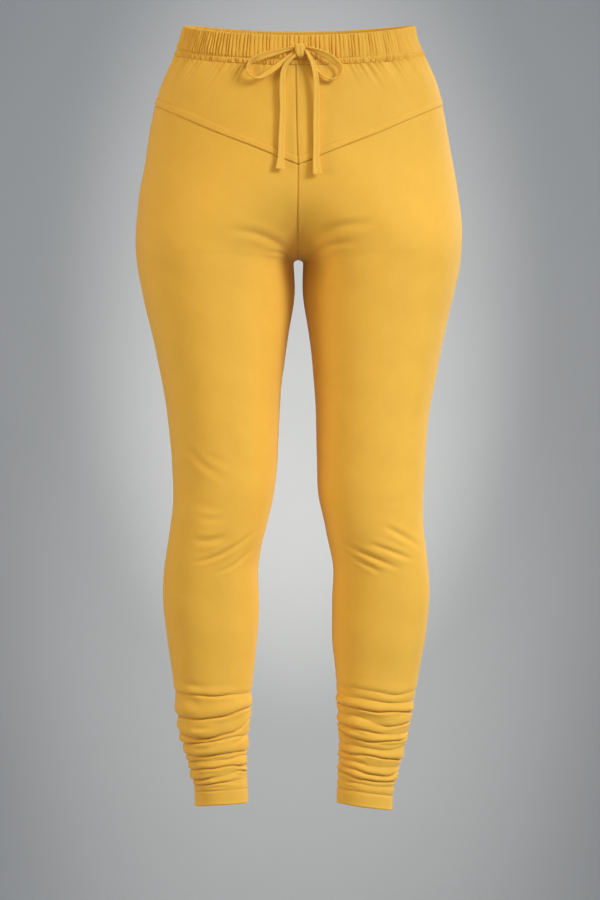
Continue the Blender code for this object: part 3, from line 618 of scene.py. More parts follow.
LEFT_FOLDS = (
    # turn, level, depth   (degrees, mm, mm)
    ((0, -754, 0.0), (90, -763, 0.0), (180, -765, 0.0), (270, -757, 0.0)),
    ((0, -768.0, 0.3), (50, -773.0, 0.3), (89, -778.1, 0.6), (118, -782.2, 0.7), (150, -780.0, 0.4),
     (200, -777.0, 0.4), (270, -770.0, 1.2), (325, -767.5, 0.8)),
    ((16, -783.0, 0.3), (63, -785.7, 0.5), (87, -788.9, 0.7), (112, -791.6, 0.7), (157, -791.4, 0.4),
     (225, -787.0, 0.5), (270, -783.5, 1.0), (325, -781.5, 0.5)),
    ((16, -792.8, 3.0), (56, -797.3, 2.7), (94, -801.5, 2.0), (130, -802.4, 2.0), (175, -804.6, 2.1),
     (225, -801.5, 1.4), (270, -796.5, 2.3), (325, -792.5, 2.0)),
    ((0, -805.0, 0.7), (29, -806.5, 0.8), (56, -807.2, 0.8), (76, -811.5, 0.5), (92, -816.8, 0.5),
     (106, -819.9, 0.9), (125, -819.4, 1.4), (150, -817.6, 1.6), (173, -816.0, 1.7), (225, -812.8, 1.0),
     (270, -809.5, 1.6), (325, -805.5, 0.9)),
    ((0, -815.5, 2.7), (15, -816.9, 2.9), (44, -819.5, 2.7), (63, -822.2, 2.2), (90, -827.3, 1.3),
     (111, -829.0, 0.4), (150, -829.2, 0.3), (180, -828.0, 0.8), (225, -823.0, 1.2), (270, -818.5, 1.7),
     (325, -815.5, 1.8)),
    ((5, -823.6, 3.4), (39, -830.0, 3.3), (60, -834.5, 2.9), (78, -837.0, 2.3), (107, -837.3, 1.9),
     (142, -837.0, 1.9), (173, -834.1, 1.9), (225, -831.0, 1.3), (270, -827.5, 2.5), (325, -823.5, 2.6)),
    ((10, -841.0, 0.7), (39, -842.0, 0.9), (61, -843.3, 0.8), (79, -845.2, 0.6), (109, -848.5, 0.5),
     (143, -846.8, 0.4), (175, -845.5, 0.7), (225, -843.0, 1.1), (270, -841.0, 1.7), (325, -840.5, 1.3)),
    ((5, -849.0, 1.2), (19, -850.4, 1.8), (50, -852.8, 1.6), (72, -853.6, 1.1), (86, -854.4, 1.6),
     (105, -856.9, 1.8), (129, -859.5, 1.8), (168, -861.8, 1.7), (225, -857.5, 1.2), (270, -853.0, 1.9),
     (325, -849.5, 1.1)),
    ((10, -859.5, 1.2), (30, -859.7, 1.0), (49, -860.8, 0.7), (74, -864.8, 0.5), (110, -868.5, 0.3),
     (150, -870.0, 0.4), (180, -869.5, 0.7), (225, -866.0, 1.0), (270, -862.5, 1.5), (325, -860.0, 1.1)),
    ((0, -866.8, 0.7), (37, -868.2, 1.3), (69, -872.1, 1.6), (86, -875.4, 1.6), (119, -879.5, 1.5),
     (139, -879.8, 1.5), (166, -875.8, 1.3), (200, -874.0, 0.9), (270, -870.5, 1.4), (325, -867.5, 0.9)),
    ((13, -873.7, 2.4), (39, -876.5, 2.1), (57, -879.2, 2.1), (80, -882.7, 2.0), (115, -886.0, 1.7),
     (178, -887.0, 1.6), (225, -883.5, 1.0), (270, -879.0, 1.6), (325, -875.0, 1.9)),
    ((10, -883.8, 0.7), (35, -885.5, 0.8), (73, -888.0, 0.6), (106, -891.4, 0.5), (154, -893.5, 0.6),
     (200, -893.0, 0.8), (270, -888.0, 1.3), (325, -884.5, 0.8)),
    ((18, -896.2, 0.4), (77, -898.3, 0.4), (121, -901.7, 0.5), (178, -905.8, 0.4), (270, -900.0, 0.4)),
    ((18, -914.2, 0.0), (48, -914.6, 0.0), (77, -916.3, 0.0), (121, -919.7, 0.0), (178, -923.8, 0.0),
     (225, -921.0, 0.0), (270, -918.0, 0.0), (325, -915.0, 0.0)),
)
FOLD_FULLNESS = 2.25            # how much fuller the rolls stand than the depth of their creases
ROLL_FALL = 2.2                 # how fast a roll's fullness falls away above its crease
CREASE_WIDTH = 0.8 * MM         # least half-width of a stacked fold's crease
CREASE_SPREAD = 0.42            # how much wider a crease is for its depth
SOFT_WIDTH = 3.0 * MM           # a shallow fold's crease is wider by this much
SOFT_BELOW = 0.9 * MM           # folds shallower than this are soft
UNDERSIDE = 4.4 * MM            # height over which a roll curves in above its crease
UNDERSIDE_SHARE = 0.4           # and at most this share of a thin roll's height
CREASE_SHARE = 1.6              # depth of the crease inside the form, as a share of the fold's depth
LIP_SHARE = 1.15                # fullness of a roll's upper lip
LIP_REACH = 0.30                # share of a roll over which its lip runs out
HANG_SHARE = 0.75               # how far a roll hangs over its crease, as a share of the depth
HANG_PLACE = 1.5 * MM           # height above the crease where it hangs most
FOLD_WANDER = 0.3 * MM          # small unevenness of a crease line round the leg
FOLD_UNEVEN = 0.22              # share by which the depth varies round the leg


def folds_of(side):
    """The table of one leg's stacked folds."""
    return RIGHT_FOLDS if side == RIGHT else LEFT_FOLDS


def round_the_leg(row, index, across):
    """One column of a fold's row, read all round the leg as a closed smooth curve."""
    turns = np.array([place[0] for place in row], dtype=float)
    values = np.array([place[index] for place in row], dtype=float)
    closed = np.concatenate([turns - 360, turns, turns + 360])
    return curve_through(closed, np.tile(values, 3), 360 * across)


def fold_line(side, index, across):
    """Level of a crease round the leg."""
    row = folds_of(side)[index]
    depth = fold_depth(side, index, across)
    wander = np.sin(7 * 2 * math.pi * across + 1.9 * index + side) * np.minimum(depth / MM, 1)
    return round_the_leg(row, 1, across) * MM + FOLD_WANDER * wander


def fold_depth(side, index, across):
    """Depth of a crease round the leg."""
    angle = 2 * math.pi * across
    uneven = 0.6 * np.sin(5 * angle + 1.7 * index + side) + 0.4 * np.sin(11 * angle + 2.9 * index)
    return np.maximum(round_the_leg(folds_of(side)[index], 2, across), 0) * MM * (1 + FOLD_UNEVEN * uneven)


def crease_width(depth):
    """Half-width of a crease: a shallow fold is a soft trough, and a deep one a sharp line."""
    return CREASE_WIDTH + CREASE_SPREAD * depth + SOFT_WIDTH * np.exp(-((depth / SOFT_BELOW) ** 2))


def roll(above, height, depth):
    """How far a roll stands out and hangs down, at a distance above its lower crease."""
    fall = np.cos(math.pi / 2 * np.clip(above / height, 0, 1)) ** ROLL_FALL
    underside = np.minimum(UNDERSIDE, UNDERSIDE_SHARE * height)
    fullness = FOLD_FULLNESS * depth * (1 - np.exp(-above / underside)) * fall
    return fullness, HANG_SHARE * depth * above / HANG_PLACE * np.exp(1 - above / HANG_PLACE)


def lip(below, height, depth):
    """How far the top of a roll stands out, at a distance below its upper crease."""
    rise = 1 - np.exp(-below / crease_width(depth))
    return LIP_SHARE * depth * rise * np.exp(-((below / height / LIP_REACH) ** 2))


print("fold lines:", len(RIGHT_FOLDS), "on the right leg and", len(LEFT_FOLDS), "on the left")

# %% [markdown]
# Creases that don't go round the leg come from bending and pulling: soft ones fan out from the crotch,
# sharper ones cross the knees, and short ones break up the ankle's rolls. They could be sculpted, but a
# line with its depth and half-width can be measured and corrected. Each row of the tables is one crease,
# drawn as a bent line. `edge` says how sharp its bottom is: 0 is a soft trough, 1 a pressed crease.

# %% Single creases
FRONT_CREASES = (
    # start           middle            end               depth  half-width  edge    (x and level, mm)
    ((-79.0, -236.0), (-44.0, -240.5), (-11.0, -257.0), 1.8, 4.6, 0.5),
    ((-36.0, -259.0), (-20.0, -259.0), (-7.0, -264.5), 1.1, 2.2, 0.6),
    ((88.0, -229.5), (54.0, -229.5), (20.0, -241.0), 1.6, 5.0, 0.3),
    ((68.0, -249.5), (38.0, -251.5), (10.0, -261.5), 1.5, 3.4, 0.5),
    ((-123.0, -623.0), (-86.5, -611.8), (-46.0, -583.0), 1.7, 2.8, 0.7),
    ((-96.0, -636.0), (-72.0, -624.0), (-52.0, -604.0), 1.3, 2.6, 0.6),
    ((-124.0, -596.5), (-104.0, -597.5), (-84.0, -591.5), 1.4, 4.0, 0.2),
    ((-136.6, -483.0), (-110.0, -508.5), (-84.0, -524.0), 1.5, 3.8, 0.3),
    ((-118.0, -492.0), (-98.0, -501.5), (-80.0, -507.0), 1.2, 3.4, 0.3),
    ((-126.0, -552.5), (-107.0, -557.0), (-90.0, -560.5), 0.7, 4.5, 0.1),
    ((-118.0, -570.5), (-101.0, -572.5), (-85.0, -570.5), 0.6, 4.0, 0.1),
    ((53.0, -601.0), (84.6, -616.2), (121.0, -631.5), 2.2, 3.0, 0.6),
    ((84.0, -601.0), (111.0, -611.0), (136.0, -621.0), 2.0, 3.0, 0.5),
    ((48.0, -608.0), (75.7, -623.5), (98.0, -636.5), 1.6, 2.8, 0.5),
    ((101.0, -580.5), (123.0, -592.0), (145.0, -606.0), 1.7, 3.4, 0.3),
    ((98.0, -554.0), (112.0, -552.5), (126.0, -549.0), 0.8, 3.5, 0.1),
    ((-133.0, -821.8), (-117.0, -822.4), (-101.0, -821.3), 0.9, 2.2, 0.2),
    ((-127.0, -847.6), (-113.0, -846.9), (-99.0, -845.2), 0.6, 1.8, 0.2),
    ((-86.0, -863.2), (-74.0, -862.8), (-62.0, -861.5), 0.6, 1.5, 0.6),
    ((80.0, -837.6), (100.0, -841.3), (120.0, -844.5), 0.9, 1.8, 0.5),
    ((51.0, -849.0), (64.0, -854.0), (78.0, -856.5), 0.8, 1.6, 0.5),
    ((56.0, -835.5), (66.0, -840.0), (76.0, -841.5), 0.6, 2.0, 0.2),
    ((-138.0, -767.6), (-125.0, -771.2), (-107.0, -772.3), 0.8, 4.0, 0.1),
    ((-140.5, -780.0), (-128.0, -788.0), (-116.0, -797.0), 1.1, 5.0, 0.1),
    ((-80.9, -842.7), (-68.9, -836.7), (-59.4, -831.9), 1.0, 2.0, 0.4),
    ((-107.0, -859.4), (-88.0, -855.8), (-69.0, -851.0), 0.7, 1.6, 0.5),
    ((-122.6, -879.0), (-110.7, -877.2), (-97.6, -874.9), 0.8, 1.5, 0.4),
    ((-78.5, -876.0), (-71.3, -878.4), (-61.8, -881.4), 0.7, 1.8, 0.3),
    ((-113.0, -893.9), (-97.6, -892.7), (-80.9, -892.1), 0.6, 1.3, 0.4),
    ((-92.8, -890.4), (-78.5, -888.6), (-61.8, -888.0), 0.6, 1.2, 0.4),
    ((-121.4, -898.1), (-107.0, -898.1), (-92.8, -896.9), 0.5, 1.2, 0.4),
    ((48.4, -771.2), (56.8, -777.1), (66.3, -779.5), 1.1, 4.0, 0.1),
    ((65.0, -806.0), (82.0, -808.5), (104.0, -815.0), 1.1, 3.5, 0.0),
    ((56.8, -821.2), (68.7, -826.0), (80.6, -829.6), 1.0, 1.6, 0.4),
    ((63.9, -858.2), (73.5, -862.9), (81.8, -865.9), 1.1, 2.2, 0.2),
    ((55.6, -892.1), (63.9, -893.3), (72.3, -895.1), 0.7, 1.3, 0.4),
    ((59.2, -895.1), (68.7, -896.9), (83.0, -898.1), 0.5, 1.2, 0.4),
    ((104.5, -840.3), (116.4, -842.1), (127.1, -841.5), 0.7, 1.5, 0.4),
    ((110.4, -805.7), (121.1, -806.9), (131.9, -804.5), 0.7, 2.0, 0.2),
)
BACK_CREASES = (
    # start           middle            end               depth  half-width  edge
    ((-140.0, -598.0), (-104.0, -606.0), (-62.0, -596.0), 2.4, 6.0, 0.3),
    ((-132.0, -616.0), (-100.0, -622.0), (-58.0, -616.0), 1.8, 5.0, 0.3),
    ((52.0, -594.0), (94.0, -604.0), (136.0, -598.0), 2.4, 6.0, 0.3),
    ((58.0, -614.0), (98.0, -621.0), (134.0, -616.0), 1.8, 5.0, 0.3),
    ((-132.0, -262.0), (-82.0, -278.0), (-26.0, -276.0), 2.2, 9.0, 0.1),
    ((132.0, -262.0), (82.0, -278.0), (26.0, -276.0), 2.2, 9.0, 0.1),
)
CREASE_STEPS = 13               # points on a crease's bent line
EDGE_FALL = 2.2                 # how fast a pressed crease runs out, away from its line
CREASE_RIDGE = 0.35             # height of the ridges beside a crease, as a share of its depth
RIDGE_PLACE = 1.9               # their distance from its line, in half-widths
CREASE_ENDS = (0.04, 0.96)      # a crease begins and ends at these places on a half wave of depth
CREASE_REACH = 4.0              # half-widths past which a crease does nothing


def crease_line(start, middle, end):
    """Points of a bent line through its middle, as x and level in metres."""
    start, middle, end = np.array(start), np.array(middle), np.array(end)
    steps = np.linspace(0, 1, CREASE_STEPS)[:, None]
    bend = 2 * middle - (start + end) / 2
    return ((1 - steps) ** 2 * start + 2 * steps * (1 - steps) * bend + steps**2 * end) * MM


def crease_depth(points, creases, on_face):
    """Depth of a table's creases at each point of a panel that is on their face of the pants."""
    depth = np.zeros(points.shape[:-1])
    flat = points[..., [0, 2]]
    for start, middle, end, deep, half_width, edge in creases:
        line = crease_line(start, middle, end)
        reach = CREASE_REACH * half_width * MM
        low, high = line.min(axis=0) - reach, line.max(axis=0) + reach
        near = np.all((flat > low) & (flat < high), axis=-1) & on_face
        if not near.any():
            continue
        begin, step = line[:-1], np.diff(line, axis=0)
        away = flat[near][:, None] - begin
        share = np.clip((away * step).sum(-1) / (step * step).sum(-1), 0, 1)
        distance = np.linalg.norm(away - share[..., None] * step, axis=-1)
        nearest = distance.argmin(axis=1)
        picked = np.arange(len(nearest)), nearest
        along = (nearest + share[picked]) / (CREASE_STEPS - 1)
        gap = distance[picked] / (half_width * MM)
        trough = (1 - edge) * np.exp(-(gap**2)) + edge * np.exp(-EDGE_FALL * gap)
        trough = trough - CREASE_RIDGE * np.exp(-((gap - RIDGE_PLACE) ** 2))
        runs_out = np.sin(math.pi * (CREASE_ENDS[0] + (CREASE_ENDS[1] - CREASE_ENDS[0]) * along))
        depth[near] += deep * MM * trough * runs_out
    return depth


def all_creases(points):
    """Depth of the front's and the back's creases together."""
    middle = section_sizes(LEFT, points[..., 2])[2]
    y = points[..., 1]
    return crease_depth(points, FRONT_CREASES, y < middle) + crease_depth(points, BACK_CREASES, y > middle)


print("creases:", len(FRONT_CREASES), "in front and", len(BACK_CREASES), "behind")

# %% [markdown]
# Elastic draws the waist in, so the cloth on it stands in small upright pleats, and the cloth under it
# falls away in soft gathers that lean outwards over the hips and soon run out. One wave repeated round
# the waist would look like a spring. So the 196 small pleats are numbered, and each takes its width, its
# height and the valley beside it from its number. They are deeper on the wearer's right, and flatter
# towards the left side.

# %% Gathers
PLEATS = 196
PLEAT_UNEVEN = 0.45             # share by which their widths differ
PLEAT_HEIGHT = 1.25 * MM
PLEAT_LEAST = 0.45              # height of the lowest pleat, as a share of the highest
PLEAT_VALLEY = 1.1 * MM
VALLEY_LEAST = 0.4              # depth of the shallowest valley, as a share of the deepest
CREST = 0.78                    # shape of a crest: 1 is a half wave, and less is fuller
CREST_CHANGE = 0.35             # and how much it differs from pleat to pleat
PLEAT_SMOOTH = 0.5              # share by which the pleats flatten towards the wearer's left side
FLATTER_TURNS = (0.07, 0.20)    # where round the waist they begin to, and where they have
PLEAT_DEEPER = 0.9              # share by which they deepen over the wearer's right
DEEPER_TURNS = ((0.6, 0.7), (0.95, 0.85))       # from each end: where they begin to, and where they have
SOFT_GATHERS = 92
GATHER_DRIFTS = ((0.4, 13), (0.3, 31))          # shift of the gathers, and how often round the waist
GATHER_EDGE = 4                 # how narrow their troughs are
GATHER_FADE = 1.4               # how suddenly they run out
SOFT_DEPTH = 2.8 * MM           # depth of the soft gathers just under the band
SOFT_FALL = 14.0 * MM           # length over which they run out
SOFT_LEAN = 0.42                # how far they lean outwards, as a slope
SOFT_PLAIN = 0.05               # turn beside the centre front where they are weak
PLAIN_SHARE = 0.8               # and how weak
WAIST_ROUND = 0.8               # length once round under the band (m)


def fade(places, start, end):
    """0 up to the start and 1 from the end on, with an even rise between."""
    return np.clip((places - start) / (end - start), 0, 1)


def pleat_places():
    """Where each pleat starts, as a turn from the centre front, and its width."""
    index = np.arange(PLEATS)
    widths = 1 + PLEAT_UNEVEN * (0.6 * np.sin(2.4 * index) + 0.4 * np.sin(5.1 * index + 1))
    starts = np.concatenate([[0], np.cumsum(widths)[:-1]]) / widths.sum()
    return starts, widths / widths.sum()


def pleat_relief(index, phase):
    """Height of the pleats on the casing, at places given as a pleat's number and a share of its width."""
    height = PLEAT_LEAST + (1 - PLEAT_LEAST) * np.abs(np.sin(3.7 * index + 0.5))
    crest = np.abs(np.sin(math.pi * phase)) ** (CREST + CREST_CHANGE * np.sin(2.1 * index))
    before, after = (
        (1 + VALLEY_LEAST) / 2 + (1 - VALLEY_LEAST) / 2 * np.sin(1.3 * number + 2)
        for number in (index, (index + 1) % PLEATS)
    )
    valley = (before * (1 - phase) + after * phase) * (1 - crest)
    return PLEAT_HEIGHT * height * crest - PLEAT_VALLEY * valley


def gathers_below(turns, below):
    """Height of the soft gathers, by the turn round the waist and the distance below the band."""
    turns = turns - SOFT_LEAN * np.sin(4 * math.pi * turns) * below / WAIST_ROUND
    places = SOFT_GATHERS * turns
    for shift, often in GATHER_DRIFTS:
        places = places + shift * np.sin(2 * math.pi * often * turns)
    index = np.floor(places)
    trough = np.sin(math.pi * (places - index)) ** GATHER_EDGE
    strength = np.clip(0.4 + 0.75 * np.abs(np.sin(2.9 * index + 0.7)), 0, 1)
    fall = SOFT_FALL * (1 + 0.5 * np.sin(1.9 * index + 1))
    beside = np.minimum(turns, 1 - turns)
    share = 1 - PLAIN_SHARE * np.exp(-((beside / SOFT_PLAIN) ** 2))
    return -SOFT_DEPTH * share * strength * trough * np.exp(-((np.maximum(below, 0) / fall) ** GATHER_FADE))


def soft_gathers(side, across, below):
    """The soft gathers, by the place across one half of the pants."""
    return gathers_below(across / 2 if side == LEFT else 1 - across / 2, below)


print("pleats:", PLEATS, " soft gathers:", SOFT_GATHERS)

# %% [markdown]
# ## The leg panels and the yoke
#
# Each half of the pants has a front yoke, a front leg and a back leg, as a maker would cut them. A grid
# with even rows would need far too many to draw a crease 1 mm wide. So the rows of a panel lie close
# together where the cloth is busy, near seams, at the knee and at the ankle, and further apart where it
# is smooth.

# %% Rows and columns
SEAM_STEPS = np.array([0.0, 0.35, 0.8, 1.4, 2.2, 3.2, 4.6, 6.6]) * MM       # rows under a seam
EDGE_STEPS = np.array([0.0, 0.0004, 0.0009, 0.0016, 0.0025, 0.0040, 0.0060, 0.0093])    # across, at a seam
ROW_CROWDING = 0.62             # how much closer a roll's rows are beside its creases
LEAST_ROWS = 4                  # in a thin roll
KNEE_TOP, KNEE_END = -560 * MM, -650 * MM       # levels between which the rows are closer, at the knee
RISE_CROWDING, THIGH_CROWDING = 0.6, 0.5        # how much closer the rows are near the crotch
# Columns of a leg panel, rows of each of its stretches, and height of the rows in its folds.
FRONT_COUNTS = {"columns": 104, "rise": 46, "thigh": 70, "knee": 62, "calf": 34, "fold_step": 0.8 * MM}
BACK_COUNTS = {"columns": 140, "rise": 48, "thigh": 46, "knee": 30, "calf": 22, "fold_step": 1.25 * MM}


def even_rows(upper, lower, count):
    """Rows at even steps from one line to another, without the last."""
    return [upper + (lower - upper) * k / count for k in range(count)]


def crowded_rows(start, end, across, count, crowding, near_end):
    """Rows from one line to another, closer together near the crotch."""
    power = 1 + crowding * np.cos(math.pi * across) ** 2
    shares = [1 - (1 - k / count) ** power if near_end else (k / count) ** power for k in range(count)]
    return [start + (end - start) * share for share in shares]


def panel_columns(face, count):
    """Places of a panel's columns, closer together beside its seams, and the nudge off the side seam."""
    even = np.linspace(EDGE_STEPS[-1], 0.5 - EDGE_STEPS[-1], count + 3 - 2 * len(EDGE_STEPS))
    places = np.concatenate([EDGE_STEPS[:-1], even, 0.5 - EDGE_STEPS[-2::-1]])
    nudge = np.zeros(count + 1)
    if face == "front":
        nudge[-1] = -1
        return places, nudge
    nudge[0] = 1
    return 0.5 + places, nudge


def leg_rows(side, across, top, counts):
    """Levels, swells and overhangs of a leg panel's rows."""
    flat = np.ones_like(across)
    seam = [top - step for step in SEAM_STEPS]
    plain = seam[:-1] + crowded_rows(seam[-1], CROTCH, across, counts["rise"], RISE_CROWDING, True)
    plain += crowded_rows(CROTCH * flat, KNEE_TOP * flat, across, counts["thigh"], THIGH_CROWDING, False)
    plain += even_rows(KNEE_TOP * flat, KNEE_END * flat, counts["knee"])
    plain += even_rows(KNEE_END * flat, fold_line(side, 0, across), counts["calf"])
    rows = [(levels, 0 * flat, 0 * flat) for levels in plain]
    lines = [fold_line(side, index, across) for index in range(len(folds_of(side)))]
    depths = [fold_depth(side, index, across) for index in range(len(lines))]
    for upper, lower, depth_over, depth_under in zip(lines, lines[1:], depths, depths[1:]):
        height = upper - lower
        assert height.min() > MM, "creases cross"
        count = max(LEAST_ROWS, round(float(height.mean()) / counts["fold_step"]))
        for share in np.arange(count) / count:
            share -= ROW_CROWDING * math.sin(2 * math.pi * share) / (2 * math.pi)
            below, above = height * share, height * (1 - share)
            fullness, hang = roll(above, height, depth_under)
            fullness = fullness + lip(below, height, depth_over)
            fullness -= CREASE_SHARE * depth_over * np.exp(-((below / crease_width(depth_over)) ** 2))
            fullness -= CREASE_SHARE * depth_under * np.exp(-((above / crease_width(depth_under)) ** 2))
            rows.append((upper - below, fullness, hang))
    rows.append((lines[-1], 0 * flat, 0 * flat))
    return tuple(np.array([row[index] for row in rows]) for index in range(3))


print("columns: front leg", FRONT_COUNTS["columns"], " back leg", BACK_COUNTS["columns"])

# %% [markdown]
# Along every seam the cloth dips into a narrow groove. Beside the centre front seam the pressed seam
# allowance shows as a ridge on the wearer's left, and the cloth on the right lies lower. All this is
# added up as one height, the relief, and the panel's points are moved outwards by it. A displacement map
# could do the same, but only in the render, and this way the relief is in the mesh.

# %% Shaping a panel
GROOVE_DEPTH = 0.75 * MM
GROOVE_WIDTH = 1.1 * MM         # how far from the seam it runs out
TOP_SHARE = 0.25                # share of the groove's depth along a panel's upper edge
LEG_TOP_SHARE = 1.1             # and more of it where a front leg lies under the yoke's raised edge
RIDGE_HEIGHT = 0.8 * MM         # pressed seam allowance on the wearer's left of the centre seam
RIDGE_AWAY = 1.7 * MM           # how far from the seam it is highest
RIDGE_WIDTH = 1.0 * MM          # and how far from there it runs out
DIP_DEPTH = 0.6 * MM            # and the cloth on the wearer's right, which lies lower beside it
DIP_WIDTH = 3.2 * MM            # how far from the seam it rises again
SEAM_LEAN = ((-158.0, 0.0), (-124.0, -1.3), (-40.0, -3.0))     # level and x of the centre seam (mm)
LEAN_REACH = 60.0 * MM          # how far from the seam the cloth is drawn with it
HEM_STITCH = 18.0 * MM          # height of the hem's stitch line above its edge
STITCH_GROOVE = 0.4 * MM        # depth of the channel that a row of stitches draws
STITCH_SPREAD = 0.9 * MM        # half-width of that channel at the hem
HEM_RIDGE = 0.3 * MM            # thickness that shows along the hem's folded edge
WELT_HEIGHT = 8.5 * MM          # the yoke's topstitching lies this far above its seam
WELT_LIFT = 0.85 * MM
SWAY = 0.35 * MM                # slight unevenness of cloth that hangs smoothly


def groove(distance):
    """Depth of the groove along a seam, at a distance from it."""
    return GROOVE_DEPTH * np.exp(-((distance / GROOVE_WIDTH) ** 2))


def seam_lean(x, levels):
    """How far the cloth beside the centre front seam is drawn aside."""
    place, lean = column(SEAM_LEAN, 0) * MM, column(SEAM_LEAN, 1) * MM
    return curve_through(place, lean, levels) * np.exp(-((x / LEAN_REACH) ** 2))


def sway(points):
    """Slow unevenness of the cloth, from a few waves 50 to 150 mm long."""
    x, y, z = points[..., 0], points[..., 1], points[..., 2]
    waves = np.sin(61 * x + 23 * z + 1) * np.sin(37 * z - 19 * y) + np.sin(97 * z + 41 * x - 53 * y + 2)
    return SWAY * 0.5 * waves


def shaped(side, face, columns, levels, swells, hangs, details):
    """Points of a panel: the form with its folds, creases, seams and details, moved outwards from it."""
    across, nudge = columns
    form = leg_points(side, across, levels, nudge)
    out = skin_directions(side, across, levels)
    along_row, down = lengths_along(form, 1), lengths_along(form, 0)
    relief = swells - all_creases(form) + sway(form)
    relief -= groove(along_row) + groove(along_row[:, -1:] - along_row) + TOP_SHARE * groove(down)
    relief += details(across, levels, down)
    over_crotch = np.clip((levels - CROTCH) / RIDGE_AWAY, 0, 1)
    if face == "front" and side == LEFT:
        relief += RIDGE_HEIGHT * over_crotch * np.exp(-(((along_row - RIDGE_AWAY) / RIDGE_WIDTH) ** 2))
    elif face == "front":
        relief -= DIP_DEPTH * over_crotch * np.exp(-((along_row / DIP_WIDTH) ** 2))
    points = form + out * relief[..., None]
    points[..., 2] -= hangs
    points[..., 0] = side * np.maximum(points[..., 0] * side, 0.5 * SEAM_GAP)
    if face == "front":
        points[..., 0] += seam_lean(points[..., 0], levels)
    return points


def cut_and_sew(name, side, points):
    """The finished panel: a flat grid laid on its points and given its thickness."""
    piece = flat_cloth(name, points.shape[1] - 1, points.shape[0] - 1)
    lay_on_form(piece, points)
    if side == RIGHT:
        edit(piece, bpy.ops.mesh.flip_normals)
    area = flat_area(piece)
    width, length = lengths_along(points, 1)[:, -1].max(), lengths_along(points, 0)[-1].max()
    give_thickness(piece)
    smooth(piece)
    print(name, round(area, 4), "m2 of cloth,", width.round(4), "x", length.round(4), "m,",
          len(piece.data.polygons), "faces")
    return keep(piece)


print("seams dip", GROOVE_DEPTH / MM, "mm")

# %% [markdown]
# The hem is turned up and stitched about 18 mm above its edge. The stitching draws the cloth into a
# shallow channel with small puckers, and the folded edge is rounded. The turned-up cloth could be a second
# layer inside, but it wouldn't show, so the hem is only shaped as it looks from outside.

# %% Leg panels
PUCKER = 0.45                   # share by which the stitched channel's depth changes
PUCKERS = 62                    # along the hem, once round one leg
HEM_ROUND = 1.7 * MM            # height of the folded edge's fullest line
HEM_ROUND_WIDTH = 1.0 * MM      # how far above and below it the fullness runs out
HEM_TURN_WIDTH = 0.7 * MM       # height over which the edge turns in


def leg_panel(name, side, face, top_line, counts):
    """A front or back leg, from the line of its upper edge down to the hem."""
    columns = panel_columns(face, counts["columns"])
    levels, swells, hangs = leg_rows(side, columns[0], top_line(columns[0]), counts)
    edge = fold_line(side, -1, columns[0])

    def hem_and_top(across, levels, down):
        """Relief of the hem, and of the groove or the gathers at the upper edge."""
        above = levels - edge
        pucker = 1 + PUCKER * np.sin(2 * math.pi * across * PUCKERS + 3 * np.sin(17 * across))
        relief = -STITCH_GROOVE * pucker * np.exp(-(((above - HEM_STITCH) / STITCH_SPREAD) ** 2))
        relief += HEM_RIDGE * np.exp(-(((above - HEM_ROUND) / HEM_ROUND_WIDTH) ** 2))
        relief -= 2 * HEM_RIDGE * np.exp(-((above / HEM_TURN_WIDTH) ** 2))
        if face == "back":
            relief += soft_gathers(side, across, panel_top(across) - levels)
        else:
            relief -= LEG_TOP_SHARE * groove(down)
        return relief

    return cut_and_sew(name, side, shaped(side, face, columns, levels, swells, hangs, hem_and_top))


print("hems are stitched", round(HEM_STITCH / MM, 1), "mm above their edge")

# %% [markdown]
# The yoke laps over the legs: its lower edge is a raised welt with the seam allowance under it, which
# drops to the leg in a small step. It could be a strip of its own, but then a gap would show along it, so
# the yoke's cloth is lifted there instead. Extra rows keep the step crisp.

# %% Yokes
YOKE_COLUMNS = 214
YOKE_ROWS = 44
WELT_STEPS = np.array([0.0, 0.35, 0.8, 1.4, 2.2, 3.4, 5.0, 6.4, 7.4, 8.0, 8.5, 9.0, 9.6, 10.6]) * MM
WELT_SOFTNESS = 0.35 * MM       # height over which the welt's upper edge falls to the yoke
WELT_ROUND = 0.5 * MM           # rounding of its lower edge
WELT_TURNED = 0.9               # and how much of the lift is lost at that edge
WELT_CHANNEL = 0.7 * MM         # half-width of the channel that its topstitching draws


def yoke_panel(name, side):
    """Half of the yoke, from the band down to its welt."""
    columns = panel_columns("front", YOKE_COLUMNS)
    across = columns[0]
    foot = yoke_seam(across) + SEAM_GAP
    welt = [foot + step for step in WELT_STEPS[::-1]]
    levels = np.array(even_rows(panel_top(across), welt[0], YOKE_ROWS) + welt)

    def welt_and_gathers(across, levels, down):
        """Relief of the welt, and of the gathers under the band."""
        above = levels - foot
        raised = 1 / (1 + np.exp((above - WELT_HEIGHT) / WELT_SOFTNESS))
        relief = WELT_LIFT * raised * (1 - np.exp(-((above / WELT_ROUND) ** 2)) * WELT_TURNED)
        relief -= STITCH_GROOVE * np.exp(-(((above - WELT_HEIGHT) / WELT_CHANNEL) ** 2))
        return relief + soft_gathers(side, across, panel_top(across) - levels)

    none = np.zeros_like(levels)
    return cut_and_sew(name, side, shaped(side, "front", columns, levels, none, none, welt_and_gathers))


for side, word in ((RIGHT, "right"), (LEFT, "left")):
    yoke_panel("front_yoke_" + word, side)
    leg_panel("front_leg_" + word, side, "front", yoke_seam, FRONT_COUNTS)
    leg_panel("back_leg_" + word, side, "back", panel_top, BACK_COUNTS)

# %% [markdown]
# ## The waistband
#
# The casing is a folded strip of cloth with elastic inside. Below its stitch line, a narrow strip is
# drawn up into finer ribs. It could be a flat ring with the pleats as bump, but their valleys notch the
# band's upper edge, so they have to be real. A long grid goes once round the waist and once round the
# band's own section, outer face, edges and plain inside, and its meeting edges are merged.

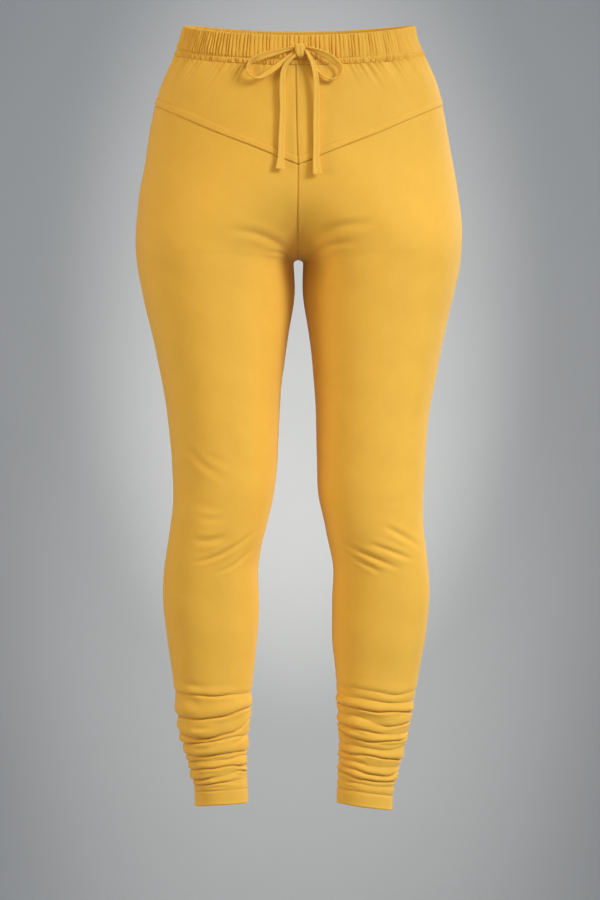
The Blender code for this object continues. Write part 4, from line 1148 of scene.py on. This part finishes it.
# %% Waistband
CASING_BOTTOM = -10.0 * MM
POINTS_PER_PLEAT = 7
BAND_ROWS = (
    # level (mm)  stand (mm)  share of the pleats' height
    (17.6, -1.75, 0.20), (18.4, -1.3, 0.35), (18.5, -0.7, 0.55), (18.1, -0.15, 0.75), (17.2, 0.2, 0.90),
    (15.8, 0.35, 0.95), (13.5, 0.45, 1.00), (11.0, 0.5, 1.05), (8.5, 0.55, 1.05), (6.0, 0.6, 1.05),
    (3.5, 0.6, 1.05), (1.0, 0.6, 1.05), (-1.5, 0.6, 1.05), (-4.0, 0.6, 1.05), (-6.3, 0.5, 1.00),
    (-8.0, 0.35, 0.80), (-9.2, -0.25, 0.50), (-10.0, -1.1, 0.20), (-10.7, -0.35, 0.30),
    (-11.5, 0.25, 0.40), (-12.7, 0.45, 0.45), (-14.0, 0.45, 0.45), (-15.2, 0.35, 0.40),
    (-16.1, 0.2, 0.35), (-16.7, 0.0, 0.30), (-17.0, -0.35, 0.25), (-17.0, -1.6, 0.10),
)
LINING_ROWS = (
    # level  stand   (mm)
    (-16.6, -3.6), (-9.0, -3.7), (0.0, -3.8), (9.0, -3.9), (16.5, -4.0), (17.6, -3.4), (18.0, -2.5),
)
LINING_SHARE = 0.4              # how much of the pleats shows on the inside
PLEAT_UPRIGHT = 0.003           # turn by which the pleats stay upright while the band widens downwards
UPRIGHT_LEVELS = (4.0, 14.0)    # level where they need no turn, and how far from it they need it all (mm)
PLEAT_ASIDE = 0.0007            # turn by which each one leans in its own way
ASIDE_LEVELS = (2.0, 16.0)      # the same two levels for that (mm)
PLEAT_CHANGE = 0.22             # share by which its height changes down the band
GATHERS_BEGIN = (-11.0, -16.0)  # levels between which the strip takes up the gathers below it (mm)
STRIP_FLUSH = 0.3 * MM          # on the wearer's left the strip lies flush, its lines filled up to here
FLUSH_SHARE = 0.75              # so much of the way
FLUSH_TURNS = (0.02, 0.12)      # where round the waist that begins, and where it is full
FLUSH_ROWS = (-8.0, -1.5)       # on the rows below this level that stand out further than this (mm)
BEADS = 300                     # fine ribs of the narrow strip, once round
BEAD_HEIGHT = 0.55 * MM


def band_ring(turns, level, stand):
    """Points of the waist form all round at one line of the band, moved out by `stand`."""
    side = np.where(turns < 0.5, LEFT, RIGHT)
    across = np.where(turns < 0.5, 2 * turns, 2 - 2 * turns)
    levels = level + waist_drop(across)
    outer, _, middle, depth = section_sizes(LEFT, levels)
    outer = np.where(side == LEFT, outer, section_sizes(RIGHT, levels)[0])
    angle = math.pi / 2 + math.pi * across
    x = -(outer + stand) * np.cos(angle) * side
    return np.stack([x, middle - (depth + stand) * np.sin(angle), levels], axis=-1)


def pleats_round_the_waist():
    """Number of each point's pleat, its place on the pleat, its turn round the waist and its height."""
    starts, widths = pleat_places()
    phase = np.tile(np.arange(POINTS_PER_PLEAT) / POINTS_PER_PLEAT, PLEATS)
    index = np.repeat(np.arange(PLEATS), POINTS_PER_PLEAT)
    turns = np.append(starts[index] + widths[index] * phase, 1.0)
    index, phase = np.append(index, 0), np.append(phase, 0.0)
    flatter = PLEAT_SMOOTH * fade(turns, *FLATTER_TURNS) * (turns < 0.5)
    deeper = PLEAT_DEEPER * fade(turns, *DEEPER_TURNS[0]) * fade(turns, *DEEPER_TURNS[1])
    return index, phase, turns, pleat_relief(index, phase) * (1 - flatter) * (1 + deeper)


def outer_line(level, stand, share, pleats, gathers):
    """One line of the band's outer face, with its level and stand in mm."""
    index, phase, turns, relief = pleats
    away, full = level - ASIDE_LEVELS[0], ASIDE_LEVELS[1]
    aside = PLEAT_ASIDE * np.sin(0.9 * index + 0.6) * away / full * np.sin(math.pi * phase)
    away, full = level - UPRIGHT_LEVELS[0], UPRIGHT_LEVELS[1]
    upright = PLEAT_UPRIGHT * np.sin(4 * math.pi * turns) * away / full
    change = 1 + PLEAT_CHANGE * np.sin(1.7 * index + level / 5)
    in_strip = CASING_BOTTOM > level * MM > STRIP_BOTTOM + 0.5 * MM
    beads = BEAD_HEIGHT * np.sin(2 * math.pi * BEADS * turns) * in_strip
    filled = level < FLUSH_ROWS[0] and stand > FLUSH_ROWS[1]
    flush = FLUSH_SHARE * fade(turns, *FLUSH_TURNS) * (turns < 0.5) * filled
    stand = stand * MM + flush * np.maximum(STRIP_FLUSH - stand * MM, 0)
    stand = stand + share * change * relief + beads + fade(level, *GATHERS_BEGIN) * gathers
    return band_ring(np.clip(turns + aside + upright, 0, 1), level * MM, stand)


def waistband(name):
    """The whole band as one closed ring."""
    pleats = pleats_round_the_waist()
    turns, relief = pleats[2:]
    gathers = gathers_below(turns, np.zeros_like(turns))
    rows = [outer_line(*row, pleats, gathers) for row in BAND_ROWS]
    for level, stand in LINING_ROWS:
        rows.append(band_ring(turns, level * MM, stand * MM + LINING_SHARE * relief))
    points = np.array(rows + rows[:1])
    points[:, -1] = points[:, 0]
    piece = flat_cloth(name, points.shape[1] - 1, points.shape[0] - 1)
    lay_on_form(piece, points)
    edit(
        piece,
        lambda: bpy.ops.mesh.remove_doubles(threshold=1e-6),
        lambda: bpy.ops.mesh.normals_make_consistent(inside=False),
    )
    smooth(piece)
    print(name, "faces", len(piece.data.polygons))
    return keep(piece)


waistband("elastic_waistband")

# %% [markdown]
# ## Stitching
#
# A row of machine stitches is one small thread capsule after another, each sunk a little into the cloth.
# A thin tube along the seam would be simpler, but it looks like piping. So one stitch is modelled and
# then repeated along a line, and all the stitches of a line are one mesh. The finished cloth is asked
# where its surface is, so that each stitch lies on it.

# %% One stitch, and rows of them
STITCH_LENGTH = 2.3 * MM
STITCH_PITCH = 3.1 * MM
STITCH_SINK = 0.12 * MM         # how deep a stitch lies in the cloth
STITCH_BOW = 0.12 * MM          # how much higher its middle is than its ends
STITCH_FLATTENED = 0.8          # its height, as a share of its width
STITCH_BLUNT = 0.6              # 1 leaves the capsule's ends round, and less makes them blunt
THREAD = 0.62 * MM              # thickness of the thread


def stitch_shape():
    """Vertices and faces of one stitch of unit length and thickness along X, with Z outwards."""
    select_nothing()
    bpy.ops.mesh.primitive_uv_sphere_add(segments=6, ring_count=5, radius=0.5, rotation=(0, math.pi / 2, 0))
    bpy.ops.object.transform_apply(rotation=True)
    pattern = bpy.context.object
    verts = np.array([vert.co for vert in pattern.data.vertices])
    verts[:, 0] = np.sign(verts[:, 0]) * (np.abs(verts[:, 0]) * 2) ** STITCH_BLUNT / 2
    faces = [tuple(face.vertices) for face in pattern.data.polygons]
    bpy.data.objects.remove(pattern, do_unlink=True)
    return verts, faces


STITCH_VERTS, STITCH_FACES = stitch_shape()


def surface_of(*names):
    """Search trees of the faces of finished pieces."""
    graph = bpy.context.evaluated_depsgraph_get()
    return [BVHTree.FromObject(PIECES[name], graph) for name in names]


def stitch_row(name, line, cloths):
    """Stitches along a line of points near the cloth."""
    trees = surface_of(*cloths)
    run = lengths_along(line[None], 1)[0]
    count = int(run[-1] // STITCH_PITCH)
    verts, faces = [], []
    for index in range(count):
        ends = []
        for place in (index * STITCH_PITCH, index * STITCH_PITCH + STITCH_LENGTH):
            point = Vector([np.interp(place, run, line[:, axis]) for axis in range(3)])
            hits = [tree.find_nearest(point) for tree in trees]
            ends.append(min(hits, key=lambda hit: hit[3])[:2])
        (first, first_out), (second, second_out) = ends
        out = (first_out + second_out).normalized()
        along = second - first
        aside = out.cross(along).normalized()
        middle = (first + second) / 2 + out * (THREAD / 2 - STITCH_SINK)
        base = len(verts)
        for forth, over, high in STITCH_VERTS:
            lift = THREAD * STITCH_FLATTENED * high + (1 - 4 * forth * forth) * STITCH_BOW
            verts.append(middle + along * forth + aside * (THREAD * over) + out * lift)
        faces += [tuple(base + corner for corner in face) for face in STITCH_FACES]
    mesh = bpy.data.meshes.new(name)
    mesh.from_pydata(verts, [], faces)
    mesh.update()
    piece = bpy.data.objects.new(name, mesh)
    bpy.context.scene.collection.objects.link(piece)
    smooth(piece, 80)
    print(name, count, "stitches")
    return keep(piece)


print("one stitch has", len(STITCH_FACES), "faces")

# %% [markdown]
# The yoke has a double row of topstitching, one along the seam and one at the top of its welt. A single
# row runs down the centre front seam, one goes round each hem, and two hold the elastic's casing. Each
# line is read from the same formulas as the cloth, so it follows its seam wherever that runs.

# %% Lines of stitches
EDGE_STITCH = 1.6 * MM          # height of the lower row above the yoke's seam
CENTRE_STITCH = 3.6 * MM        # distance of the centre row from its seam
CENTRE_ENDS = (3 * MM, 16 * MM)                 # how far it stops below the band and above the crotch
YOKE_ENDS = (0.004, 0.497)      # places across a half between which the yoke is stitched
HEM_ENDS = (0.006, 0.994)       # and round a leg, between which its hem is
BAND_END = 0.9995               # turn at which the band's rows stop, just before they would meet
BAND_LINES = (
    # level and stand of the casing's row and the strip's
    ("casing", CASING_BOTTOM, -0.5 * MM),
    ("strip", STRIP_BOTTOM + 1.1 * MM, 0.0),
)
LINE_POINTS, CENTRE_POINTS, BAND_POINTS = 400, 90, 1200

for side, word in ((RIGHT, "right"), (LEFT, "left")):
    across = np.linspace(*YOKE_ENDS, LINE_POINTS)
    for kind, height in (("edge", EDGE_STITCH), ("welt", WELT_HEIGHT)):
        line = leg_points(side, across, yoke_seam(across) + height)
        stitch_row("yoke_stitch_" + kind + "_" + word, line, ["front_yoke_" + word])
    around = np.linspace(*HEM_ENDS, LINE_POINTS)
    edge = fold_line(side, -1, around)
    line = leg_points(side, around, edge + HEM_STITCH)
    stitch_row("hem_stitch_" + word, line, ["front_leg_" + word, "back_leg_" + word])


def centre_line(levels):
    """Line a little to the wearer's left of the centre front seam."""
    aside = CENTRE_STITCH + seam_lean(CENTRE_STITCH, levels)
    return np.array([(x, front_surface(x, level), level) for x, level in zip(aside, levels)])


centre_levels = np.linspace(panel_top(0.0) - CENTRE_ENDS[0], CROTCH + CENTRE_ENDS[1], CENTRE_POINTS)
stitch_row("centre_stitch", centre_line(centre_levels), ["front_yoke_left", "front_leg_left"])

band_turns = np.linspace(0, BAND_END, BAND_POINTS)
for kind, level, stand in BAND_LINES:
    stitch_row("band_stitch_" + kind, band_ring(band_turns, level, stand), ["elastic_waistband"])

# %% [markdown]
# ## Materials
#
# A material is a small tree of nodes. It could be wired by hand in the shader editor, but in code each
# value can have its reason beside it. Colours are written as on a screen and turned to the linear values
# that shaders take. One function adds a node of any kind, with its settings and its links.

# %% Material helpers
def linear(hex_colour):
    """An sRGB hex colour as the linear colour that shaders take."""
    shares = [int(hex_colour[k:k + 2], 16) / 255 for k in (1, 3, 5)]
    return tuple(s / 12.92 if s <= 0.04045 else ((s + 0.055) / 1.055) ** 2.4 for s in shares) + (1.0,)


def new_material(name):
    """An empty material and its node tree."""
    material = bpy.data.materials.new(name)
    material.use_nodes = True
    material.node_tree.nodes.clear()
    return material, material.node_tree


def add_node(tree, kind, settings=(), **links):
    """Adds a node. Settings are attributes or sockets by name, and links say what feeds a socket."""
    node = tree.nodes.new("ShaderNode" + kind)
    for name, value in dict(settings).items():
        if name in node.inputs:
            node.inputs[name].default_value = value
        else:
            setattr(node, name, value)
    for name, source in links.items():
        tree.links.new(source, node.inputs[name.replace("_", " ")])
    return node


print("mustard in linear light:", [round(share, 3) for share in linear("#E6B340")[:3]])

# %% [markdown]
# A jersey knit is rows of small loops: seen close, upright ribs called wales, crossed by the courses. A
# real wale is about 0.6 mm wide, too fine to show from a few metres, so it's drawn 1.1 mm wide here. Two
# waves at right angles, multiplied, make bumps that stand for the loops. A picture of a knit could serve
# as well, but it repeats and has to be scaled. The cotton is matt, with a soft bloom from its fibre ends,
# which a little sheen gives. Slight differences in the yarn show as faint mottling. The spun thread is
# smoother, with a fine twist.

# %% Knit and thread
KNIT_WALE = 1.1 * MM
KNIT_COURSE = 0.9 * MM
WAVE_REPEAT = math.pi / 10      # distance after which a wave texture of scale 1 repeats (m)
YARN_RELIEF = 0.10 * MM
MOTTLE_SCALE = 38.0             # patches of the yarn's tone about 26 mm across
TWIST_SCALE = 900.0             # turns of the thread's fibres about 1.1 mm long


def knit_material(name, light, dark, roughness, sheen):
    """Cotton stretch jersey: matt, soft, with wales along the cloth's length."""
    material, tree = new_material(name)
    uv = add_node(tree, "UVMap")
    waves = [
        add_node(
            tree, "TexWave",
            {"wave_type": "BANDS", "bands_direction": direction, "wave_profile": "SIN",
             "Scale": WAVE_REPEAT / width, "Distortion": 0.4, "Detail": 1.0, "Detail Scale": 2.0},
            Vector=uv.outputs["UV"],
        )
        for direction, width in (("X", KNIT_WALE), ("Y", KNIT_COURSE))
    ]
    loops = add_node(tree, "Math", {"operation": "MULTIPLY"})
    for factor, wave in zip(loops.inputs, waves):
        tree.links.new(wave.outputs["Fac"], factor)
    bump = add_node(tree, "Bump", {"Strength": 0.5, "Distance": YARN_RELIEF}, Height=loops.outputs["Value"])
    mottle = add_node(tree, "TexNoise", {"Scale": MOTTLE_SCALE, "Detail": 4.0, "Roughness": 0.65},
                      Vector=uv.outputs["UV"])
    colour = add_node(tree, "ValToRGB", Fac=mottle.outputs["Fac"])
    ramp = colour.color_ramp
    ramp.elements[0].position, ramp.elements[0].color = 0.3, linear(dark)
    ramp.elements[1].position, ramp.elements[1].color = 0.7, linear(light)
    shader = add_node(
        tree, "BsdfPrincipled",
        {"Roughness": roughness, "Metallic": 0.0, "IOR": 1.45,
         "Sheen Weight": sheen, "Sheen Roughness": 0.45, "Sheen Tint": linear("#FFEBC4")},
        Normal=bump.outputs["Normal"], Base_Color=colour.outputs["Color"],
    )
    add_node(tree, "OutputMaterial", Surface=shader.outputs["BSDF"])
    return material


def thread_material(name, tone):
    """Spun polyester sewing thread, a little smoother than the knit."""
    material, tree = new_material(name)
    twist = add_node(tree, "TexNoise", {"Scale": TWIST_SCALE, "Detail": 1.0},
                     Vector=add_node(tree, "TexCoord").outputs["Object"])
    bump = add_node(tree, "Bump", {"Strength": 0.3, "Distance": 0.05 * MM}, Height=twist.outputs["Fac"])
    shader = add_node(
        tree, "BsdfPrincipled",
        {"Base Color": linear(tone), "Roughness": 0.55, "Metallic": 0.0, "IOR": 1.5},
        Normal=bump.outputs["Normal"],
    )
    add_node(tree, "OutputMaterial", Surface=shader.outputs["BSDF"])
    return material


print("wales", KNIT_WALE / MM, "mm wide, courses", KNIT_COURSE / MM, "mm high")

# %% [markdown]
# The panels and the band are cut from one dyed cloth. The drawstring's tape is the same jersey, pressed a
# little smoother and with more sheen, and its colour is painted a shade lighter for the light that its
# pressed face catches. The thread is dyed to match, a shade lighter.

# %% Dressing the pieces
cotton_knit = knit_material("cotton_stretch_jersey", "#E6B340", "#E2AE3B", 0.78, 0.3)
# the tape is the same jersey, with its colour painted a shade lighter for the light that its pressed face
# catches
lighter_painted_tape_knit = knit_material("cotton_jersey_tape", "#EAB94A", "#E6B444", 0.76, 0.35)
thread = thread_material("spun_polyester_thread", "#EBB955")

for name, piece in PIECES.items():
    material = thread if "stitch" in name else lighter_painted_tape_knit if name.startswith("bow") else cotton_knit
    piece.data.materials.clear()
    piece.data.materials.append(material)
print("materials:", ", ".join(material.name for material in (cotton_knit, lighter_painted_tape_knit, thread)))

# %% [markdown]
# ## The studio
#
# The pants hang in the middle of a round studio: a pale floor that runs up into a wall in one smooth
# curve, so that no corner shows from any side. A plain box would be quicker, but its corners show. A disc
# is the floor, and its rim is extruded again and again, each ring wider and higher than the last.

# %% Floor and wall
FLOOR = -2.6
STUDIO_RADIUS = 7.0
STUDIO_CURVE = 4.0              # radius of the curve between the floor and the wall
STUDIO_HEIGHT = 7.0
CURVE_STEPS = 20

select_nothing()
bpy.ops.mesh.primitive_circle_add(
    vertices=96, radius=STUDIO_RADIUS - STUDIO_CURVE, fill_type="NGON", location=(0, 0, FLOOR)
)
studio = bpy.context.object
studio.name = studio.data.name = "studio_sweep"
bpy.ops.object.transform_apply(location=True)
bpy.ops.object.mode_set(mode="EDIT")
bpy.ops.mesh.select_mode(type="EDGE")
bpy.ops.mesh.select_all(action="SELECT")
bpy.ops.mesh.region_to_loop()
turns = np.linspace(0, math.pi / 2, CURVE_STEPS + 1)
radii = STUDIO_RADIUS - STUDIO_CURVE + STUDIO_CURVE * np.sin(turns)
heights = STUDIO_CURVE * (1 - np.cos(turns))
for k in range(CURVE_STEPS):
    spread = radii[k + 1] / radii[k]
    bpy.ops.mesh.extrude_edges_move()
    bpy.ops.transform.resize(value=(spread, spread, 1), center_override=(0, 0, 0))
    bpy.ops.transform.translate(value=(0, 0, heights[k + 1] - heights[k]))
bpy.ops.mesh.extrude_edges_move()
bpy.ops.transform.translate(value=(0, 0, STUDIO_HEIGHT - STUDIO_CURVE))
bpy.ops.object.mode_set(mode="OBJECT")
bpy.ops.object.shade_smooth()
print("studio faces", len(studio.data.polygons))

# %% [markdown]
# The studio's paper is matt and a cool grey, so that the mustard cloth looks warm before it. Its faint
# mottling keeps the wall from looking computed.

# %% Studio paper
paper, paper_tree = new_material("grey_studio_paper")
paper_grain = add_node(
    paper_tree, "TexNoise", {"Scale": 3.0, "Detail": 2.0},
    Vector=add_node(paper_tree, "TexCoord").outputs["Object"],
)
paper_tone = add_node(paper_tree, "ValToRGB", Fac=paper_grain.outputs["Fac"])
paper_tone.color_ramp.elements[0].color = linear("#B2BDD2")
paper_tone.color_ramp.elements[1].color = linear("#B5C0D5")
paper_shader = add_node(
    paper_tree, "BsdfPrincipled", {"Roughness": 0.95, "Specular IOR Level": 0.1},
    Base_Color=paper_tone.outputs["Color"],
)
add_node(paper_tree, "OutputMaterial", Surface=paper_shader.outputs["BSDF"])
studio.data.materials.append(paper)
print("studio material:", paper.name)

# %% [markdown]
# The key light stands high on the wearer's left, in front of the pants, and its shutters keep most of it
# on the lower legs. A small low light reaches in under the crotch. A weak warm one fills the other side,
# and a last one lights the back. The wall's glow could be a bright picture on it, but light behaves
# better: three beams leave from behind the pants, two for the wall and one for its foot.

# %% Lights
SHUTTERED_BOXES = {
    # place (m), aim (m), size (m), power (W), tone, opening of the shutters (degrees)
    "key_light": ((2.72, -2.42, 1.25), (0, 0, -0.85), 1.4, 665, "#FBFBFF", 40.0),
    "low_light": ((0.85, -2.9, -0.75), (0, 0, -0.33), 0.8, 125, "#FFF0D4", 12.5),
}
SOFT_BOXES = {
    # place (m), aim (m), size (m), power (W), tone
    "side_light": ((-3.55, -1.5, 0.15), (0, 0, -0.45), 1.5, 66, "#FFEAC4"),
    "back_light": ((2.1, 2.6, 0.6), (0, 0, -0.4), 1.4, 45, "#FFFAF0"),
}
GLOWS = {
    # opening (degrees), width as a share of its height, power (W), tilt (degrees)
    "narrow_glow": (34.0, 0.56, 660, 94),
    "wide_glow": (60.0, 0.60, 310, 94),
    "floor_glow": (56.0, 0.52, 225, 72),
}
GLOW_PLACE = (0.0, 1.5, -0.40)
AIR_TONE = "#FFF0D2"            # of the glows and of the light that comes from all round
AIR_STRENGTH = 0.67


def facing(place, aim):
    """Turn of a light at a place that shines towards its aim."""
    return (Vector(aim) - Vector(place)).to_track_quat("-Z", "Y").to_euler()


def add_light(name, kind, place, turn, power, tone):
    """A light of Blender's kind, at a place and turned."""
    select_nothing()
    bpy.ops.object.light_add(type=kind, location=place, rotation=turn)
    light = bpy.context.object
    light.name = name
    light.data.energy = power
    light.data.color = linear(tone)[:3]
    return light


def soft_box(name, place, aim, size, power, tone):
    """A round soft light."""
    light = add_light(name, "AREA", place, facing(place, aim), power, tone)
    light.data.shape = "DISK"
    light.data.size = size


def beam(name, place, turn, size, power, tone, cone):
    """A light that only leaves within a cone and fades towards its edge."""
    light = add_light(name, "SPOT", place, turn, power, tone)
    light.data.spot_size = math.radians(cone)
    light.data.spot_blend = 1.0
    light.data.shadow_soft_size = size / 2
    return light


for name, (place, aim, *rest) in SHUTTERED_BOXES.items():
    beam(name, place, facing(place, aim), *rest)
for name, values in SOFT_BOXES.items():
    soft_box(name, *values)
for name, (cone, width, power, tilt) in GLOWS.items():
    oval = beam(name, GLOW_PLACE, (math.radians(tilt), 0, 0), 0.0, power, AIR_TONE, cone)
    oval.scale = (width, 1, 1)

air = bpy.data.worlds.new("studio_air")
air.use_nodes = True
background = air.node_tree.nodes["Background"]
background.inputs["Color"].default_value = linear(AIR_TONE)
background.inputs["Strength"].default_value = AIR_STRENGTH
bpy.context.scene.world = air
bpy.context.scene.view_settings.view_transform = "Standard"
print("lights:", ", ".join([*SHUTTERED_BOXES, *SOFT_BOXES, *GLOWS]))

# %% [markdown]
# ## Each piece on the pants' body
#
# Every piece rides on the pants' one body, and the solid that it stands for is hidden. The stitches stand
# for no solid. The sizes that the panels were cut to are listed as well.

# %% Attaching the pieces
REPLACED = {"elastic_waistband": "waistband", "bow_knot": "drawstring_knot"}
for face, part in (("front", "yoke"), ("front", "leg"), ("back", "leg")):
    for word in ("right", "left"):
        REPLACED[f"{face}_{part}_{word}"] = f"{part}_{face}_{word}"
REPLACED.update({name: node for name, (node, _, _) in cords.items()})

for name, piece in PIECES.items():
    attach(piece, "root")
    if name in REPLACED:
        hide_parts(REPLACED[name])

for name, (_, _, far_end) in cords.items():
    piece, path, length = made_cords[name]

CUTS = {
    # width and length (m), flat area (m2)
    "front_yoke": ((0.26, 0.125), 0.0185),
    "front_leg": ((0.31, 0.95), 0.19),
    "back_leg": ((0.31, 1.08), 0.212),
}
for panel, (flat, area) in CUTS.items():
    for word in ("right", "left"):
        piece = PIECES[panel + "_" + word]
print("declared:", len(PIECES), "pieces,", len(cords), "cords,", 2 * len(CUTS) + 1, "sheets")
